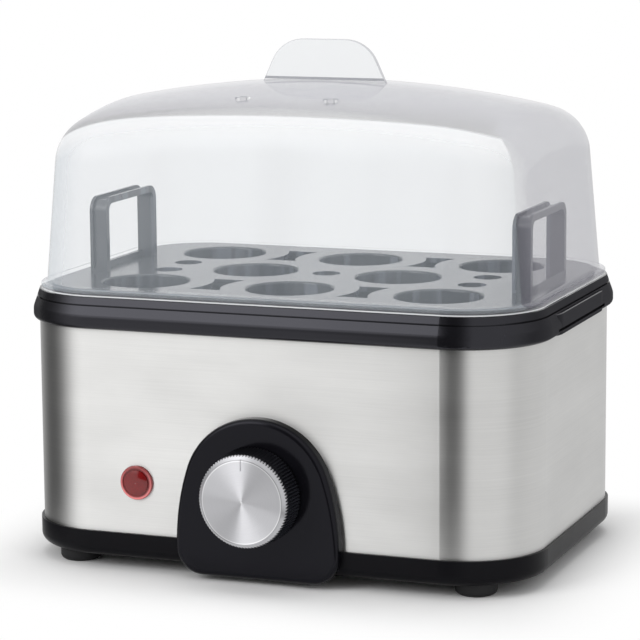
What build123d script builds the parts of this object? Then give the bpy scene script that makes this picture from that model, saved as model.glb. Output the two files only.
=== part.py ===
"""Electric egg cooker: steel body on a plastic base, egg tray with handles, clear lid, rotary switch.

Millimetres, +Z up, the front faces -Y. The origin is the middle of the bounding box's bottom face.
Every piece is built around the body's own centre line and moved to the part's frame at the end.
"""

import os
from math import atan2, cos, degrees, pi, sin, sqrt

from build123d import *

# Body outline: a rounded rectangle, seen from above
BODY_WIDTH = 230.0
BODY_DEPTH = 161.0
BODY_CORNER = 35.2

# Heights of the main rings above the floor
FOOT_HEIGHT = 5.6
BASE_RING_HEIGHT = 11.1
BAND_VISIBLE_HEIGHT = 88.5
COLLAR_HEIGHT = 13.5

# Clearances
FIT = 0.1
SEAT_GAP = 0.2
RUNNING_CLEARANCE = 0.05
SOFT_GAP = 0.3

# Base shell
BASE_LIP = 1.3
BASE_EDGE_RADIUS = 4.0
BASE_WALL = 3.2
FLOOR_THICKNESS = 2.6
BAND_SOCKET_DEPTH = 3.6
UPSTAND_HEIGHT = 4.0
BASE_BOSS_RADIUS = 5.2
BASE_BOSS_HEIGHT = 3.8
DRAIN_RADIUS = 2.5
DRAIN_SPACING = 60.0

# Feet
FOOT_INSET_X = 23.8
FOOT_INSET_Y = 14.4
FOOT_RADIUS = 9.0
FOOT_EDGE_RADIUS = 2.4
FOOT_STEM_RADIUS = 4.0
FOOT_HEAD_RADIUS = 5.4
FOOT_HEAD_HEIGHT = 1.6

# Steel band
BAND_THICKNESS = 0.7
BAND_TUCK = 3.4
SHAFT_WINDOW_RADIUS = 19.0

# Top collar
BULGE = 2.7
BULGE_FOOT_RADIUS = 2.4
BULGE_SHOULDER_HEIGHT = 5.3
BULGE_SHOULDER_IN = 1.7
BULGE_SHOULDER_RADIUS = 6.0
GROOVE_ABOVE_BOTTOM = 9.9
GROOVE_HEIGHT = 0.7
GROOVE_DEPTH = 0.9
RIM_BAND_OUT = 0.8
RIM_BAND_IN = 1.0
TOP_LAND = 9.5
LEDGE_DEPTH = 5.5
LEDGE_THICKNESS = 2.8
LEDGE_WIDTH = 3.1
SKIRT_WALL = 2.1
SKIRT_DEPTH = 8.0
GRIP_LENGTH = 84.0
GRIP_END_RADIUS = 12.0
GRIP_EDGE_RADIUS = 0.8
GRIP_BELOW_GROOVE = 0.6
GRIP_PROUD = 0.15
GRIP_LIP_HEIGHT = 1.9
GRIP_SLOT_HEIGHT = 1.2
GRIP_SLOT_DEPTH = 1.8
GRIP_SLOT_FROM_END = 6.0
POST_X_OFFSET = 7.6
POST_FROM_CORNER = 3.3
POST_RADIUS = 4.2

# Screws from below into the collar posts
BASE_SCREW_RADIUS = 1.5
BASE_SCREW_LENGTH = 14.0
BASE_SCREW_HEAD_RADIUS = 3.1
BASE_SCREW_HEAD_HEIGHT = 2.0
COUNTERBORE_RADIUS = 3.5
SCREW_SLOT_WIDTH = 0.9

# Water pan and its seal
PAN_INSET = 13.0
PAN_WALL = 1.0
PAN_DEPTH = 23.0
PAN_CORNER_FILLET = 6.0
SEAL_THICKNESS = 1.0

# Heat spreader, element and the bracket that clamps them
SPREADER_MARGIN_X = 28.0
SPREADER_MARGIN_Y = 21.5
SPREADER_CORNER = 20.0
SPREADER_THICKNESS = 3.0
ELEMENT_RADIUS = 3.25
ELEMENT_MARGIN_X = 14.0
ELEMENT_MARGIN_Y = 12.0
ELEMENT_BEND = 20.0
ELEMENT_GAP = 24.0
ELEMENT_PIN_RADIUS = 1.6
ELEMENT_PIN_LENGTH = 12.0
BRACKET_WIDTH = 18.0
BRACKET_THICKNESS = 1.5
BRACKET_BOSS_RADIUS = 4.2
BRACKET_BOSS_HEIGHT = 6.0
BRACKET_TAB = 9.0
BRACKET_ARM_GAP = 0.5
BRACKET_SCREW_RADIUS = 1.5
BRACKET_SCREW_LENGTH = 6.5
BRACKET_SCREW_HEAD_RADIUS = 3.0
BRACKET_SCREW_HEAD_HEIGHT = 2.0
STUD_RADIUS = 2.0
STUD_X = 0.0
STUD_Y = 15.0
STUD_LENGTH = 13.0
NUT_RADIUS = 4.0
NUT_HEIGHT = 3.2

# Thermostat and fuse
THERMOSTAT_FROM_ELEMENT = 26.0
THERMOSTAT_RADIUS = 8.0
THERMOSTAT_HEIGHT = 9.0
THERMOSTAT_FLANGE_LENGTH = 32.0
THERMOSTAT_FLANGE_WIDTH = 10.0
THERMOSTAT_FLANGE_THICKNESS = 1.0
THERMOSTAT_BLADE_LENGTH = 7.0
THERMOSTAT_SCREW_SPACING = 24.0
THERMOSTAT_SCREW_RADIUS = 1.5
THERMOSTAT_SCREW_HEAD_RADIUS = 2.8
THERMOSTAT_SCREW_HEAD_HEIGHT = 1.8
FUSE_RADIUS = 2.2
FUSE_LENGTH = 34.0
FUSE_NUT_GAP = 2.0

# Control panel, an arched housing on the front
PANEL_X = 0.0
PANEL_HALF_WIDTH = 37.0
PANEL_BOTTOM = 2.4
PANEL_SPRING_HEIGHT = 16.0
PANEL_TOP = 71.8
PANEL_TOP_RADIUS = 33.4
PANEL_CORNER = 12.0
PANEL_DEPTH = 6.0
PANEL_EDGE_RADIUS = 2.3
PANEL_WALL = 2.4
PANEL_BASE_CLEARANCE = 0.2
PANEL_HUB_RADIUS = 18.5
PANEL_SCREW_X = 25.0
PANEL_SCREW_Z = 27.0
PANEL_BOSS_RADIUS = 4.0
PANEL_SCREW_RADIUS = 1.5
PANEL_SCREW_LENGTH = 7.0
PANEL_SCREW_HEAD_RADIUS = 3.2
PANEL_SCREW_HEAD_HEIGHT = 1.8

# Knob, measured outwards from the steel face
CONTROL_HEIGHT = 39.5
KNOB_PANEL_GAP = 0.5
KNOB_FOOT_RADIUS = 20.2
KNOB_FOOT_LENGTH = 0.8
KNOB_RIB_BACK_RADIUS = 21.0
KNOB_RIB_FRONT_RADIUS = 20.1
KNOB_RIB_LENGTH = 10.9
KNOB_RIB_COUNT = 90
KNOB_RIB_DEPTH = 0.45
KNOB_HOLLOW_RADIUS = 17.5
KNOB_HOLLOW_DEPTH = 9.0
KNOB_HUB_RADIUS = 6.5
CAP_THICKNESS = 2.8
CAP_RADIUS = 19.95
CAP_FACE_RADIUS = 18.2
CAP_BEVEL_DEPTH = 2.0
CAP_SPIGOT_RADIUS = 9.0
CAP_SPIGOT_LENGTH = 1.2
NOTCH_INNER_RADIUS = 13.6
NOTCH_WIDTH = 0.7
NOTCH_DEPTH = 0.35

# Rotary timer switch
SHAFT_RADIUS = 3.0
SHAFT_FLAT = 1.0
SHAFT_HUB_DEPTH = 9.0
SHAFT_INSIDE = 12.0
TIMER_WIDTH = 42.0
TIMER_HEIGHT = 36.0
TIMER_DEPTH = 27.0
TIMER_CORNER = 3.0
TIMER_PLATE_WIDTH = 40.0
TIMER_PLATE_HEIGHT = 34.0
TIMER_PLATE_THICKNESS = 1.2
TIMER_BUSH_RADIUS = 5.5
TIMER_SCREW_SPACING = 28.0
TIMER_SCREW_RADIUS = 1.6
TIMER_SCREW_REACH = 6.5
TIMER_SCREW_HEAD_RADIUS = 2.9
TIMER_SCREW_HEAD_HEIGHT = 1.6
BLADE_WIDTH = 6.3
BLADE_THICKNESS = 0.8
BLADE_LENGTH = 8.0
BLADE_SPACING = 14.0

# Indicator lamp
LAMP_SPACING = 57.0
LAMP_HEIGHT = 39.4
LAMP_FLANGE_RADIUS = 7.5
LAMP_FLANGE_THICKNESS = 1.3
LAMP_RING_RADIUS = 6.3
LAMP_RING_DEPTH = 0.5
LAMP_DOME_RADIUS = 5.4
LAMP_DOME_HEIGHT = 0.7
LAMP_BARREL_RADIUS = 5.0
LAMP_BARREL_LENGTH = 20.0
LAMP_LENS_TUCK = 3.0
LAMP_CLIP_RADIUS = 8.0
LAMP_CLIP_THICKNESS = 1.5

# Cord inlet in the rear wall
INLET_FROM_SIDE = 53.0
INLET_HEIGHT = 32.0
INLET_BORE_RADIUS = 3.6
INLET_RELIEF_RADIUS = 4.3
INLET_BODY_RADIUS = 6.0
INLET_FLANGE_RADIUS = 8.5
INLET_FLANGE_THICKNESS = 2.7
INLET_INNER_LENGTH = 12.0

# Terminal block on the base floor
BLOCK_BESIDE_INLET = 10.0
BLOCK_FROM_REAR = 32.5
BLOCK_LENGTH = 34.0
BLOCK_WIDTH = 14.0
BLOCK_HEIGHT = 12.0
BLOCK_WAYS = 3
BLOCK_PITCH = 11.0
BLOCK_SCREW_RADIUS = 2.0
BLOCK_SCREW_DEPTH = 5.0
BLOCK_SCREW_SUNK = 1.0
BLOCK_SCREW_SLOT = 0.8
BLOCK_CORNER = 1.5
LEAD_RADIUS = 1.2
LEAD_BEND = 6.0
LEAD_BLOCK_RUN = 20.0
LEAD_TAB_RUN = 22.0
LEAD_STEP = 7.0

# Egg tray
TRAY_GAP_TO_LID = 0.55
DECK_THICKNESS = 2.2
DECK_EDGE_RADIUS = 0.8
DECK_TOP_ABOVE_COLLAR = 2.5
TRAY_SKIRT_WALL = 1.6
TRAY_SKIRT_DEPTH = 3.2
TRAY_SKIRT_CLEARANCE = 0.6
EGG_FROM_SIDE = 47.5
EGG_FROM_FRONT = 36.0
EGG_HOLE_RADIUS = 19.0
CUP_WALL = 1.7
CUP_DEPTH = 17.0
CUP_EDGE_RADIUS = 1.0
CUP_LEDGE_WIDTH = 5.5
CUP_LEDGE_THICKNESS = 1.8
SLOT_LENGTH = 28.0
SLOT_ARC_RADIUS = 30.0
STEAM_HOLE_RADIUS = 6.3
STEAM_HOLE_BEYOND_EGGS = 4.0
STEAM_HOLE_Y = 11.2

# Tray handles
HANDLE_FROM_SIDE = 12.5
HANDLE_STRAP = 8.2
HANDLE_HALF_SPAN = 27.0
HANDLE_THICKNESS = 3.0
HANDLE_WEB = 1.6
HANDLE_FLANGE = 1.4
HANDLE_RISE = 33.3
HANDLE_CORNER = 6.5
HANDLE_TUCK = 1.6
HANDLE_BAR_HEIGHT = 2.6
HANDLE_BAR_THICKNESS = 2.0

# Lid
LID_WALL = 1.8
LID_WALL_INSET = 3.3
LID_RIM_INSET = 0.9
LID_RIM_HEIGHT = 2.5
LID_RIM_WALL = 1.5
LID_RIM_FILLET = 0.5
LID_RIM_COVE = 1.7
LID_DRAFT = 5.0
LID_TOP = 207.0
LID_BLEND = 21.5
LID_CROWN_RADIUS_X = 480.0
LID_CROWN_RADIUS_Y = 250.0
TAB_BASE_WIDTH = 56.4
TAB_TOP_WIDTH = 39.8
TAB_HEIGHT = 18.0
TAB_SHOULDER = 16.0
TAB_PLATE = 2.2
TAB_ROOT = 3.2
VENT_X = 20.0
VENT_Y = -46.0
VENT_HOLE_RADIUS = 1.8
VENT_RING_RADIUS = 3.3
VENT_RING_PROUD = 0.5

# Derived heights
BASE_BOTTOM = FOOT_HEIGHT
BAND_BOTTOM = BASE_BOTTOM + BASE_RING_HEIGHT
COLLAR_BOTTOM = BAND_BOTTOM + BAND_VISIBLE_HEIGHT
COLLAR_TOP = COLLAR_BOTTOM + COLLAR_HEIGHT
FLOOR_TOP = BASE_BOTTOM + FLOOR_THICKNESS
BAND_SEAT = BAND_BOTTOM - BAND_SOCKET_DEPTH
BAND_TOP = COLLAR_BOTTOM + BAND_TUCK
LEDGE_TOP = COLLAR_TOP - LEDGE_DEPTH
LEDGE_BOTTOM = LEDGE_TOP - LEDGE_THICKNESS
POST_BOTTOM = FLOOR_TOP + BASE_BOSS_HEIGHT
PAN_RIM_BOTTOM = LEDGE_TOP + SEAL_THICKNESS
PAN_RIM_TOP = PAN_RIM_BOTTOM + PAN_WALL
PAN_BOTTOM = PAN_RIM_TOP - PAN_DEPTH
SPREADER_BOTTOM = PAN_BOTTOM - SPREADER_THICKNESS
ELEMENT_Z = SPREADER_BOTTOM - ELEMENT_RADIUS - RUNNING_CLEARANCE
BRACKET_TOP = ELEMENT_Z - ELEMENT_RADIUS - RUNNING_CLEARANCE
BRACKET_BOTTOM = BRACKET_TOP - BRACKET_THICKNESS
DECK_TOP = COLLAR_TOP + DECK_TOP_ABOVE_COLLAR
DECK_BOTTOM = DECK_TOP - DECK_THICKNESS
RIM_BOTTOM = COLLAR_TOP + SEAT_GAP
RIM_TOP = RIM_BOTTOM + LID_RIM_HEIGHT

# Derived places in plan, from the body's centre
FRONT = -BODY_DEPTH / 2
REAR = BODY_DEPTH / 2
INNER_FRONT = FRONT + BAND_THICKNESS
POST_X = BODY_WIDTH / 2 - POST_X_OFFSET
POST_Y = BODY_DEPTH / 2 - BODY_CORNER - POST_FROM_CORNER
FOOT_X = BODY_WIDTH / 2 - FOOT_INSET_X
FOOT_Y = BODY_DEPTH / 2 - FOOT_INSET_Y
SKIRT_OUTER = -(BAND_THICKNESS + FIT)
SKIRT_INNER = SKIRT_OUTER - SKIRT_WALL
LEDGE_INNER = -(TOP_LAND + LEDGE_WIDTH)
SPREADER_WIDTH = BODY_WIDTH - 2 * (PAN_INSET + SPREADER_MARGIN_X)
SPREADER_DEPTH = BODY_DEPTH - 2 * (PAN_INSET + SPREADER_MARGIN_Y)
ELEMENT_HALF_X = SPREADER_WIDTH / 2 - ELEMENT_MARGIN_X
ELEMENT_HALF_Y = SPREADER_DEPTH / 2 - ELEMENT_MARGIN_Y
THERMOSTAT_X = ELEMENT_HALF_X - THERMOSTAT_FROM_ELEMENT
BRACKET_SCREW_Y = BODY_DEPTH / 2 - (SKIRT_WALL + LEDGE_WIDTH + TOP_LAND) / 2
TRAY_INSET = LID_WALL_INSET + LID_WALL + TRAY_GAP_TO_LID
HANDLE_OUTER_X = BODY_WIDTH / 2 - HANDLE_FROM_SIDE
EGG_PITCH_X = BODY_WIDTH / 2 - EGG_FROM_SIDE
EGG_ROW_SPACING = BODY_DEPTH / 2 - EGG_FROM_FRONT
STEAM_HOLE_X = EGG_PITCH_X + STEAM_HOLE_BEYOND_EGGS
LAMP_X = PANEL_X - LAMP_SPACING
INLET_X = INLET_FROM_SIDE - BODY_WIDTH / 2
BLOCK_X = INLET_X + BLOCK_BESIDE_INLET
BLOCK_Y = REAR - BLOCK_FROM_REAR
KNOB_BACK = PANEL_DEPTH + KNOB_PANEL_GAP
RIB_BACK = KNOB_BACK + KNOB_FOOT_LENGTH
CAP_BACK = RIB_BACK + KNOB_RIB_LENGTH
KNOB_FACE = CAP_BACK + CAP_THICKNESS
BODY_SHIFT_Y = (KNOB_FACE - BULGE) / 2

EGG_CENTRES = [(i * EGG_PITCH_X, j * EGG_ROW_SPACING) for j in (-1, 1) for i in (-1, 0, 1)]
EGG_CENTRES += [(i * EGG_PITCH_X / 2, 0.0) for i in (-1, 1)]
SLOT_CENTRES = [(i * EGG_PITCH_X / 2, j * EGG_ROW_SPACING) for i in (-1, 1) for j in (-1, 1)]
STEAM_CENTRES = [(0.0, 0.0)] + [(i * STEAM_HOLE_X, j * STEAM_HOLE_Y) for i in (-1, 1) for j in (-1, 1)]
CORNERS = [(i, j) for i in (-1, 1) for j in (-1, 1)]

LOW = (Align.CENTER, Align.CENTER, Align.MIN)


def prism(offset, low, high):
    """A block with the body's outline grown by offset, from height low to height high."""
    outline = RectangleRounded(BODY_WIDTH + 2 * offset, BODY_DEPTH + 2 * offset, BODY_CORNER + offset)
    return extrude(Plane.XY.offset(low) * outline, high - low)


def tapered_prism(offset, low, high, draw_in):
    """A block like prism whose outline draws in by draw_in towards its top."""
    outline = RectangleRounded(BODY_WIDTH + 2 * offset, BODY_DEPTH + 2 * offset, BODY_CORNER + offset)
    taper = degrees(atan2(draw_in, high - low))
    return extrude(Plane.XY.offset(low) * outline, high - low, taper=taper)


def wall(outer, inner, low, high):
    """A closed wall between two offsets of the body's outline."""
    return prism(outer, low, high) - prism(inner, low, high)


def rod_z(x, y, low, high, radius):
    """An upright cylinder."""
    return Pos(x, y, low) * Cylinder(radius, high - low, align=LOW)


def rod_y(x, z, back, length, radius):
    """A cylinder along Y that starts at y = back and runs towards +Y."""
    return Pos(x, back, z) * Rot(-90, 0, 0) * Cylinder(radius, length, align=LOW)


def block(x_range, y_range, z_range):
    """A rectangular block given by its three ranges."""
    size = [high - low for low, high in (x_range, y_range, z_range)]
    centre = [(high + low) / 2 for low, high in (x_range, y_range, z_range)]
    return Pos(*centre) * Box(*size)


def front_plane(x, z, out=0.0):
    """A plane on the front whose normal points away from the body, out mm before the steel."""
    return Plane(origin=(x, FRONT - out, z), x_dir=(1, 0, 0), z_dir=(0, -1, 0))


def edges_near(part, low, high):
    """The edges of a part that lie wholly between two heights."""
    return [e for e in part.edges() if e.bounding_box().min.Z > low and e.bounding_box().max.Z < high]


def join(shapes):
    """All shapes fused or kept side by side in one part."""
    total = shapes[0]
    for shape in shapes[1:]:
        total = total + shape
    return total


def make_base_shell():
    """Black base: floor, visible ring, socket for the steel band and bosses for the body screws."""
    ring = prism(BASE_LIP, BASE_BOTTOM, BAND_BOTTOM)
    ring = fillet(edges_near(ring, BASE_BOTTOM - FIT, BASE_BOTTOM + FIT), BASE_EDGE_RADIUS)
    shell = ring + prism(SKIRT_OUTER, BAND_BOTTOM - FIT, BAND_BOTTOM + UPSTAND_HEIGHT)
    shell -= prism(-BASE_WALL, FLOOR_TOP, BAND_BOTTOM + UPSTAND_HEIGHT)
    shell -= wall(FIT, SKIRT_OUTER, BAND_SEAT, BAND_BOTTOM + UPSTAND_HEIGHT)
    for i, j in CORNERS:
        shell += rod_z(i * POST_X, j * POST_Y, FLOOR_TOP - FIT, POST_BOTTOM, BASE_BOSS_RADIUS)
    head_top = POST_BOTTOM - FLOOR_THICKNESS
    for i, j in CORNERS:
        shell -= rod_z(i * POST_X, j * POST_Y, BASE_BOTTOM - FIT, head_top, COUNTERBORE_RADIUS)
        shell -= rod_z(i * POST_X, j * POST_Y, head_top - FIT, POST_BOTTOM + FIT, BASE_SCREW_RADIUS + FIT)
        shell -= rod_z(i * FOOT_X, j * FOOT_Y, BASE_BOTTOM - FIT, FLOOR_TOP + FIT, FOOT_STEM_RADIUS + FIT)
    shell -= switch_space(SOFT_GAP)
    for x in (-DRAIN_SPACING / 2, DRAIN_SPACING / 2):
        shell -= rod_z(x, 0.0, BASE_BOTTOM - FIT, FLOOR_TOP + FIT, DRAIN_RADIUS)
    return shell


def switch_space(grow):
    """The block that the switch and its plate take behind the steel, grown by a clearance."""
    half = TIMER_WIDTH / 2 + grow
    half_height = TIMER_HEIGHT / 2 + grow
    y_range = (INNER_FRONT, timer_front() + TIMER_DEPTH + grow)
    z_range = (CONTROL_HEIGHT - half_height, CONTROL_HEIGHT + half_height)
    return block((PANEL_X - half, PANEL_X + half), y_range, z_range)


def make_feet():
    """Four rubber feet, each with a stem through the floor and a retaining head inside."""
    pad = rod_z(0, 0, 0, FOOT_HEIGHT, FOOT_RADIUS)
    pad = fillet(edges_near(pad, -FIT, FIT), FOOT_EDGE_RADIUS)
    pad += rod_z(0, 0, FOOT_HEIGHT - FIT, FLOOR_TOP + FIT, FOOT_STEM_RADIUS)
    head = Pos(0, 0, FLOOR_TOP) * Cone(FOOT_HEAD_RADIUS, FOOT_STEM_RADIUS, FOOT_HEAD_HEIGHT, align=LOW)
    foot = pad + head
    return join([Pos(i * FOOT_X, j * FOOT_Y, 0) * foot for i, j in CORNERS])


def make_base_screws():
    """Four screws from below, through the base bosses into the collar posts."""
    head_low = POST_BOTTOM - FLOOR_THICKNESS - BASE_SCREW_HEAD_HEIGHT
    head_high = POST_BOTTOM - FLOOR_THICKNESS
    head = rod_z(0, 0, head_low, head_high, BASE_SCREW_HEAD_RADIUS)
    half_slot = BASE_SCREW_HEAD_RADIUS * 0.8
    slot_z = (head_low - FIT, head_low + BASE_SCREW_HEAD_HEIGHT / 2)
    head -= block((-SCREW_SLOT_WIDTH / 2, SCREW_SLOT_WIDTH / 2), (-half_slot, half_slot), slot_z)
    screw = head + rod_z(0, 0, head_high - FIT, head_high + BASE_SCREW_LENGTH, BASE_SCREW_RADIUS)
    return join([Pos(i * POST_X, j * POST_Y, 0) * screw for i, j in CORNERS])


def make_steel_band():
    """Brushed steel sleeve with its windows for the switch, the lamp, the panel screws and the cord."""
    band = wall(0, -BAND_THICKNESS, BAND_SEAT, BAND_TOP)
    depth = BAND_THICKNESS + 2 * FIT + BODY_CORNER / 4
    band -= rod_y(PANEL_X, CONTROL_HEIGHT, FRONT - FIT, depth, SHAFT_WINDOW_RADIUS)
    band -= rod_y(LAMP_X, LAMP_HEIGHT, FRONT - FIT, depth, LAMP_BARREL_RADIUS + FIT)
    for i in (-1, 1):
        x = PANEL_X + i * PANEL_SCREW_X
        band -= rod_y(x, PANEL_SCREW_Z, FRONT - FIT, depth, PANEL_SCREW_RADIUS + FIT)
    band -= rod_y(INLET_X, INLET_HEIGHT, REAR - depth, depth + FIT, INLET_BODY_RADIUS + FIT)
    return band


def collar_outside():
    """The collar's full outer form: bulge, groove, upper band and the hand grips, without hollows."""
    groove_low = COLLAR_BOTTOM + GROOVE_ABOVE_BOTTOM
    groove_high = groove_low + GROOVE_HEIGHT
    shoulder = COLLAR_BOTTOM + BULGE_SHOULDER_HEIGHT
    bulge = prism(BULGE, COLLAR_BOTTOM, shoulder)
    bulge = fillet(edges_near(bulge, COLLAR_BOTTOM - FIT, COLLAR_BOTTOM + FIT), BULGE_FOOT_RADIUS)
    bulge += tapered_prism(BULGE, shoulder, groove_low, BULGE_SHOULDER_IN)
    bulge = fillet(edges_near(bulge, shoulder - FIT, shoulder + FIT), BULGE_SHOULDER_RADIUS)
    band = tapered_prism(RIM_BAND_OUT, groove_high, COLLAR_TOP, RIM_BAND_IN)
    groove = prism(RIM_BAND_OUT - GROOVE_DEPTH, groove_low - GROOVE_HEIGHT, groove_high + FIT)
    return grip_pads(groove_low - GRIP_BELOW_GROOVE) + bulge + groove + band - grip_slots()


def grip_pads(top):
    """Flat hand grips on both short sides, with ends that run out into the bulge."""
    reach = BODY_WIDTH + 2 * (BULGE + GRIP_PROUD)
    outline = RectangleRounded(reach, GRIP_LENGTH, GRIP_END_RADIUS)
    pads = extrude(Plane.XY.offset(COLLAR_BOTTOM) * outline, top - COLLAR_BOTTOM)
    level = edges_near(pads, COLLAR_BOTTOM - FIT, COLLAR_BOTTOM + FIT) + edges_near(pads, top - FIT, top + FIT)
    return fillet(level, GRIP_EDGE_RADIUS)


def grip_slots():
    """The slot that runs along each hand grip, as one cutting block with the body's middle left out."""
    low = COLLAR_BOTTOM + GRIP_LIP_HEIGHT
    high = low + GRIP_SLOT_HEIGHT
    reach = BODY_WIDTH / 2 + BULGE + GRIP_PROUD
    half = GRIP_LENGTH / 2 - GRIP_SLOT_FROM_END
    depth = reach - GRIP_SLOT_DEPTH
    slots = block((-reach - FIT, reach + FIT), (-half, half), (low, high))
    return slots - block((-depth, depth), (-half - FIT, half + FIT), (low - FIT, high + FIT))


def make_top_collar():
    """Black collar: carries the pan on its ledge, the tray and lid on its top, and the body's posts."""
    collar = collar_outside()
    collar -= prism(-TOP_LAND, LEDGE_TOP, COLLAR_TOP + FIT)
    collar -= prism(LEDGE_INNER, COLLAR_BOTTOM - FIT, LEDGE_TOP + FIT)
    collar -= prism(SKIRT_INNER, COLLAR_BOTTOM - FIT, LEDGE_BOTTOM)
    collar += wall(SKIRT_OUTER, SKIRT_INNER, COLLAR_BOTTOM - SKIRT_DEPTH, LEDGE_BOTTOM)
    collar -= wall(FIT, SKIRT_OUTER, COLLAR_BOTTOM - FIT, BAND_TOP)
    for i, j in CORNERS:
        collar += rod_z(i * POST_X, j * POST_Y, POST_BOTTOM, LEDGE_BOTTOM + FIT, POST_RADIUS)
    for i, j in CORNERS:
        hole_top = POST_BOTTOM - FLOOR_THICKNESS + BASE_SCREW_LENGTH + FIT
        hole_radius = BASE_SCREW_RADIUS + RUNNING_CLEARANCE
        collar -= rod_z(i * POST_X, j * POST_Y, POST_BOTTOM - FIT, hole_top, hole_radius)
    boss_low = LEDGE_BOTTOM - BRACKET_BOSS_HEIGHT
    for j in (-1, 1):
        boss = rod_z(0, j * BRACKET_SCREW_Y, boss_low, LEDGE_BOTTOM + FIT, BRACKET_BOSS_RADIUS)
        hole_top = boss_low + BRACKET_SCREW_LENGTH
        hole_radius = BRACKET_SCREW_RADIUS + RUNNING_CLEARANCE
        hole = rod_z(0, j * BRACKET_SCREW_Y, boss_low - FIT, hole_top, hole_radius)
        collar = collar + boss - hole
    return collar


def make_pan_seal():
    """Silicone ring between the collar's ledge and the pan's flange."""
    return wall(-TOP_LAND - SOFT_GAP, LEDGE_INNER, LEDGE_TOP, PAN_RIM_BOTTOM)


def make_heating_pan():
    """Pressed steel water pan with a flat flange that hangs on the collar's ledge."""
    outer = prism(-PAN_INSET, PAN_BOTTOM, PAN_RIM_TOP)
    outer = fillet(edges_near(outer, PAN_BOTTOM - FIT, PAN_BOTTOM + FIT), PAN_CORNER_FILLET)
    inner = prism(-PAN_INSET - PAN_WALL, PAN_BOTTOM + PAN_WALL, PAN_RIM_TOP + FIT)
    low = PAN_BOTTOM + PAN_WALL
    inner = fillet(edges_near(inner, low - FIT, low + FIT), PAN_CORNER_FILLET - PAN_WALL)
    flange = prism(-TOP_LAND - SOFT_GAP, PAN_RIM_BOTTOM, PAN_RIM_TOP)
    return outer + flange - inner


def make_heat_spreader():
    """Aluminium plate under the pan with two threaded studs for the bracket."""
    sketch = RectangleRounded(SPREADER_WIDTH, SPREADER_DEPTH, SPREADER_CORNER)
    plate = extrude(Plane.XY.offset(SPREADER_BOTTOM) * sketch, SPREADER_THICKNESS)
    for j in (-1, 1):
        low = SPREADER_BOTTOM - STUD_LENGTH
        plate += rod_z(STUD_X, j * STUD_Y, low, SPREADER_BOTTOM + FIT, STUD_RADIUS)
        x = THERMOSTAT_X + j * THERMOSTAT_SCREW_SPACING / 2
        hole_radius = THERMOSTAT_SCREW_RADIUS + RUNNING_CLEARANCE
        plate -= rod_z(x, 0, SPREADER_BOTTOM - FIT, PAN_BOTTOM - FIT, hole_radius)
    return plate


def make_heating_element():
    """Tubular element: an open loop with a pin at each end."""
    gap = ELEMENT_GAP / 2
    half_x = ELEMENT_HALF_X
    half_y = ELEMENT_HALF_Y
    points = [(-gap, -half_y), (-half_x, -half_y), (-half_x, half_y)]
    points += [(half_x, half_y), (half_x, -half_y), (gap, -half_y)]
    path = FilletPolyline(*[(x, y, ELEMENT_Z) for x, y in points], radius=ELEMENT_BEND)
    section = Plane(origin=(-gap, -half_y, ELEMENT_Z), z_dir=(-1, 0, 0)) * Circle(ELEMENT_RADIUS)
    tube = sweep(section, path=path)
    for i in (-1, 1):
        pin = Pos(i * gap, -ELEMENT_HALF_Y, ELEMENT_Z) * Rot(0, -90 * i, 0)
        tube += pin * Cylinder(ELEMENT_PIN_RADIUS, ELEMENT_PIN_LENGTH / 2, align=LOW)
    return tube


def make_pan_bracket():
    """Steel bridge along Y: presses element and plate up and is screwed to the collar's bosses."""
    half = BRACKET_WIDTH / 2
    arm_inner = BODY_DEPTH / 2 - PAN_INSET + BRACKET_ARM_GAP
    arm_outer = arm_inner + BRACKET_THICKNESS
    tab_top = LEDGE_BOTTOM - BRACKET_BOSS_HEIGHT
    tab_bottom = tab_top - BRACKET_THICKNESS
    bridge = block((-half, half), (-arm_outer, arm_outer), (BRACKET_BOTTOM, BRACKET_TOP))
    for j in (-1, 1):
        y_arm = sorted((j * arm_inner, j * arm_outer))
        y_tab = sorted((j * arm_inner, j * (arm_inner + BRACKET_TAB)))
        bridge += block((-half, half), y_arm, (BRACKET_BOTTOM, tab_top))
        bridge += block((-half, half), y_tab, (tab_bottom, tab_top))
        bridge -= rod_z(0, j * BRACKET_SCREW_Y, tab_bottom - FIT, tab_top + FIT, BRACKET_SCREW_RADIUS + FIT)
        bridge -= rod_z(STUD_X, j * STUD_Y, BRACKET_BOTTOM - FIT, BRACKET_TOP + FIT, STUD_RADIUS + FIT)
    return bridge


def make_bracket_screws():
    """Two screws that hold the bracket up against the collar's bosses."""
    head_top = LEDGE_BOTTOM - BRACKET_BOSS_HEIGHT - BRACKET_THICKNESS
    head = rod_z(0, 0, head_top - BRACKET_SCREW_HEAD_HEIGHT, head_top, BRACKET_SCREW_HEAD_RADIUS)
    tip = head_top + BRACKET_THICKNESS + BRACKET_SCREW_LENGTH - FIT
    screw = head + rod_z(0, 0, head_top - FIT, tip, BRACKET_SCREW_RADIUS)
    return join([Pos(0, j * BRACKET_SCREW_Y, 0) * screw for j in (-1, 1)])


def make_stud_nuts():
    """Two hexagonal nuts under the bracket."""
    nut = extrude(Plane.XY.offset(BRACKET_BOTTOM - NUT_HEIGHT) * RegularPolygon(NUT_RADIUS, 6), NUT_HEIGHT)
    bore = STUD_RADIUS + RUNNING_CLEARANCE
    nut -= rod_z(0, 0, BRACKET_BOTTOM - NUT_HEIGHT - FIT, BRACKET_BOTTOM + FIT, bore)
    return join([Pos(STUD_X, j * STUD_Y, 0) * nut for j in (-1, 1)])


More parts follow.
